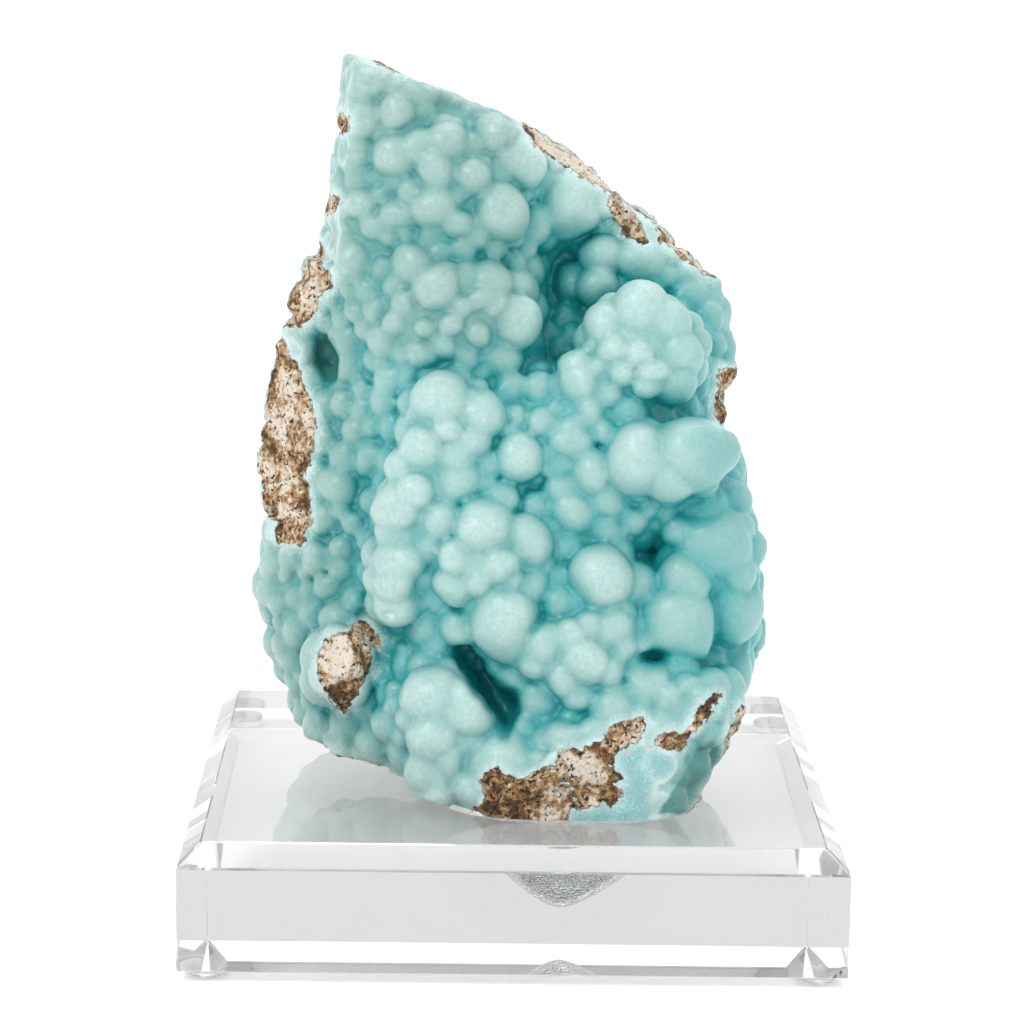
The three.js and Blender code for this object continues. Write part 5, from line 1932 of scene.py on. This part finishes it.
@dataclass
class Studio:
    """A white table, lit a little from below, under soft light, seen from a little above."""

    eye: Vec3 = (-9.99, -728.43, 223.2)
    tilt: float = 11.21
    turn: float = 0.74
    roll: float = 0.85
    focal_pixels: float = 3683.0
    floor_size: float = 9.0
    surround: float = 1.06
    table_glow: float = 0.2
    bounces: int = 32
    sight_end: float = 50.0

    # The lamps, as name, place in metres, width in metres and watts.
    lamps: tuple[tuple[str, Vec3, float, float], ...] = (
        ("key", (-0.75, -0.85, 1.15), 0.5, 7.5),
        ("fill", (1.0, -0.8, 0.7), 0.9, 1.2),
        ("top", (0.1, 0.35, 1.3), 0.9, 5.0),
    )
    lamps_aim: Vec3 = (0.0, 0.0, 0.09)

    def floor(self) -> None:
        """Lay the pale floor."""
        half = self.floor_size / 2
        mesh = bpy.data.meshes.new("floor")
        corners = [(-half, -half, 0), (half, -half, 0), (half, half, 0), (-half, half, 0)]
        mesh.from_pydata(corners, [], [(0, 1, 2, 3)])
        tree = Tree("floor_white")
        mesh.materials.append(tree.finish({
            "Base Color": tree.mix(tree.noise(400.0, 2.0), "#f8f8f8", "#fbfbfb"),
            "Roughness": 0.9, "Specular IOR Level": 0.1,
            "Emission Color": "#ffffff", "Emission Strength": self.table_glow,
        }))
        floor = bpy.data.objects.new("floor", mesh)
        bpy.context.scene.collection.objects.link(floor)

    def lamp(self, name: str, at: Vec3, size: float, watts: float) -> None:
        """Hang a square softbox that faces the stone's middle.

        Args:
            name: The lamp's name.
            at: Where it hangs, in metres.
            size: Its width in metres.
            watts: Its power.
        """
        light = bpy.data.lights.new(name, "AREA")
        light.size = size
        light.energy = watts
        lamp = bpy.data.objects.new(name, light)
        lamp.location = at
        aim = Vector(self.lamps_aim) - Vector(at)
        lamp.rotation_euler = aim.to_track_quat("-Z", "Y").to_euler()
        bpy.context.scene.collection.objects.link(lamp)

    def light(self) -> None:
        """Light the scene: a white surround, a large key from the upper left, a fill, a top."""
        world = bpy.data.worlds.new("surround")
        world.use_nodes = True
        sky = world.node_tree.nodes["Background"]
        sky.inputs["Color"].default_value = (1, 1, 1, 1)
        sky.inputs["Strength"].default_value = self.surround
        bpy.context.scene.world = world
        for lamp in self.lamps:
            self.lamp(*lamp)

    def camera(self) -> None:
        """Set the camera: turned, tilted down and rolled about its own axis."""
        tilt, turn, roll = (math.radians(a) for a in (self.tilt, self.turn, self.roll))
        level = np.array([math.sin(turn), math.cos(turn), 0.0])
        ahead = level * math.cos(tilt) - np.array([0.0, 0.0, math.sin(tilt)])
        across = np.array([math.cos(turn), -math.sin(turn), 0.0])
        under = np.cross(ahead, across)
        right = across * math.cos(roll) - under * math.sin(roll)
        down = across * math.sin(roll) + under * math.cos(roll)
        lens = bpy.data.cameras.new("camera")
        lens.sensor_width = SENSOR
        lens.lens = self.focal_pixels * SENSOR / FRAMED_PIXELS
        lens.clip_end = self.sight_end
        camera = bpy.data.objects.new("camera", lens)
        rows = np.stack([right, -down, -ahead, np.array(self.eye) / METRE], 1)
        camera.matrix_world = Matrix([*rows.tolist(), [0, 0, 0, 1]])
        bpy.context.scene.collection.objects.link(camera)
        bpy.context.scene.camera = camera

    def build(self) -> None:
        """Set the whole studio."""
        self.floor()
        self.light()
        self.camera()
        scene = bpy.context.scene
        scene.view_settings.view_transform = "Standard"
        for kind in ("max_bounces", "glossy_bounces", "transmission_bounces"):
            setattr(scene.cycles, kind, self.bounces)


def main() -> None:
    """Build the stone, its base and the studio, and log the pieces as they are made."""
    logging.basicConfig(level=logging.INFO, format="%(name)s: %(message)s")
    recess = Recess()
    Studio().build()
    Hemimorphite(recess).build()
    AcrylicBlock(recess).build()
    Bumpers().build()


if __name__ == "__main__":
    main()
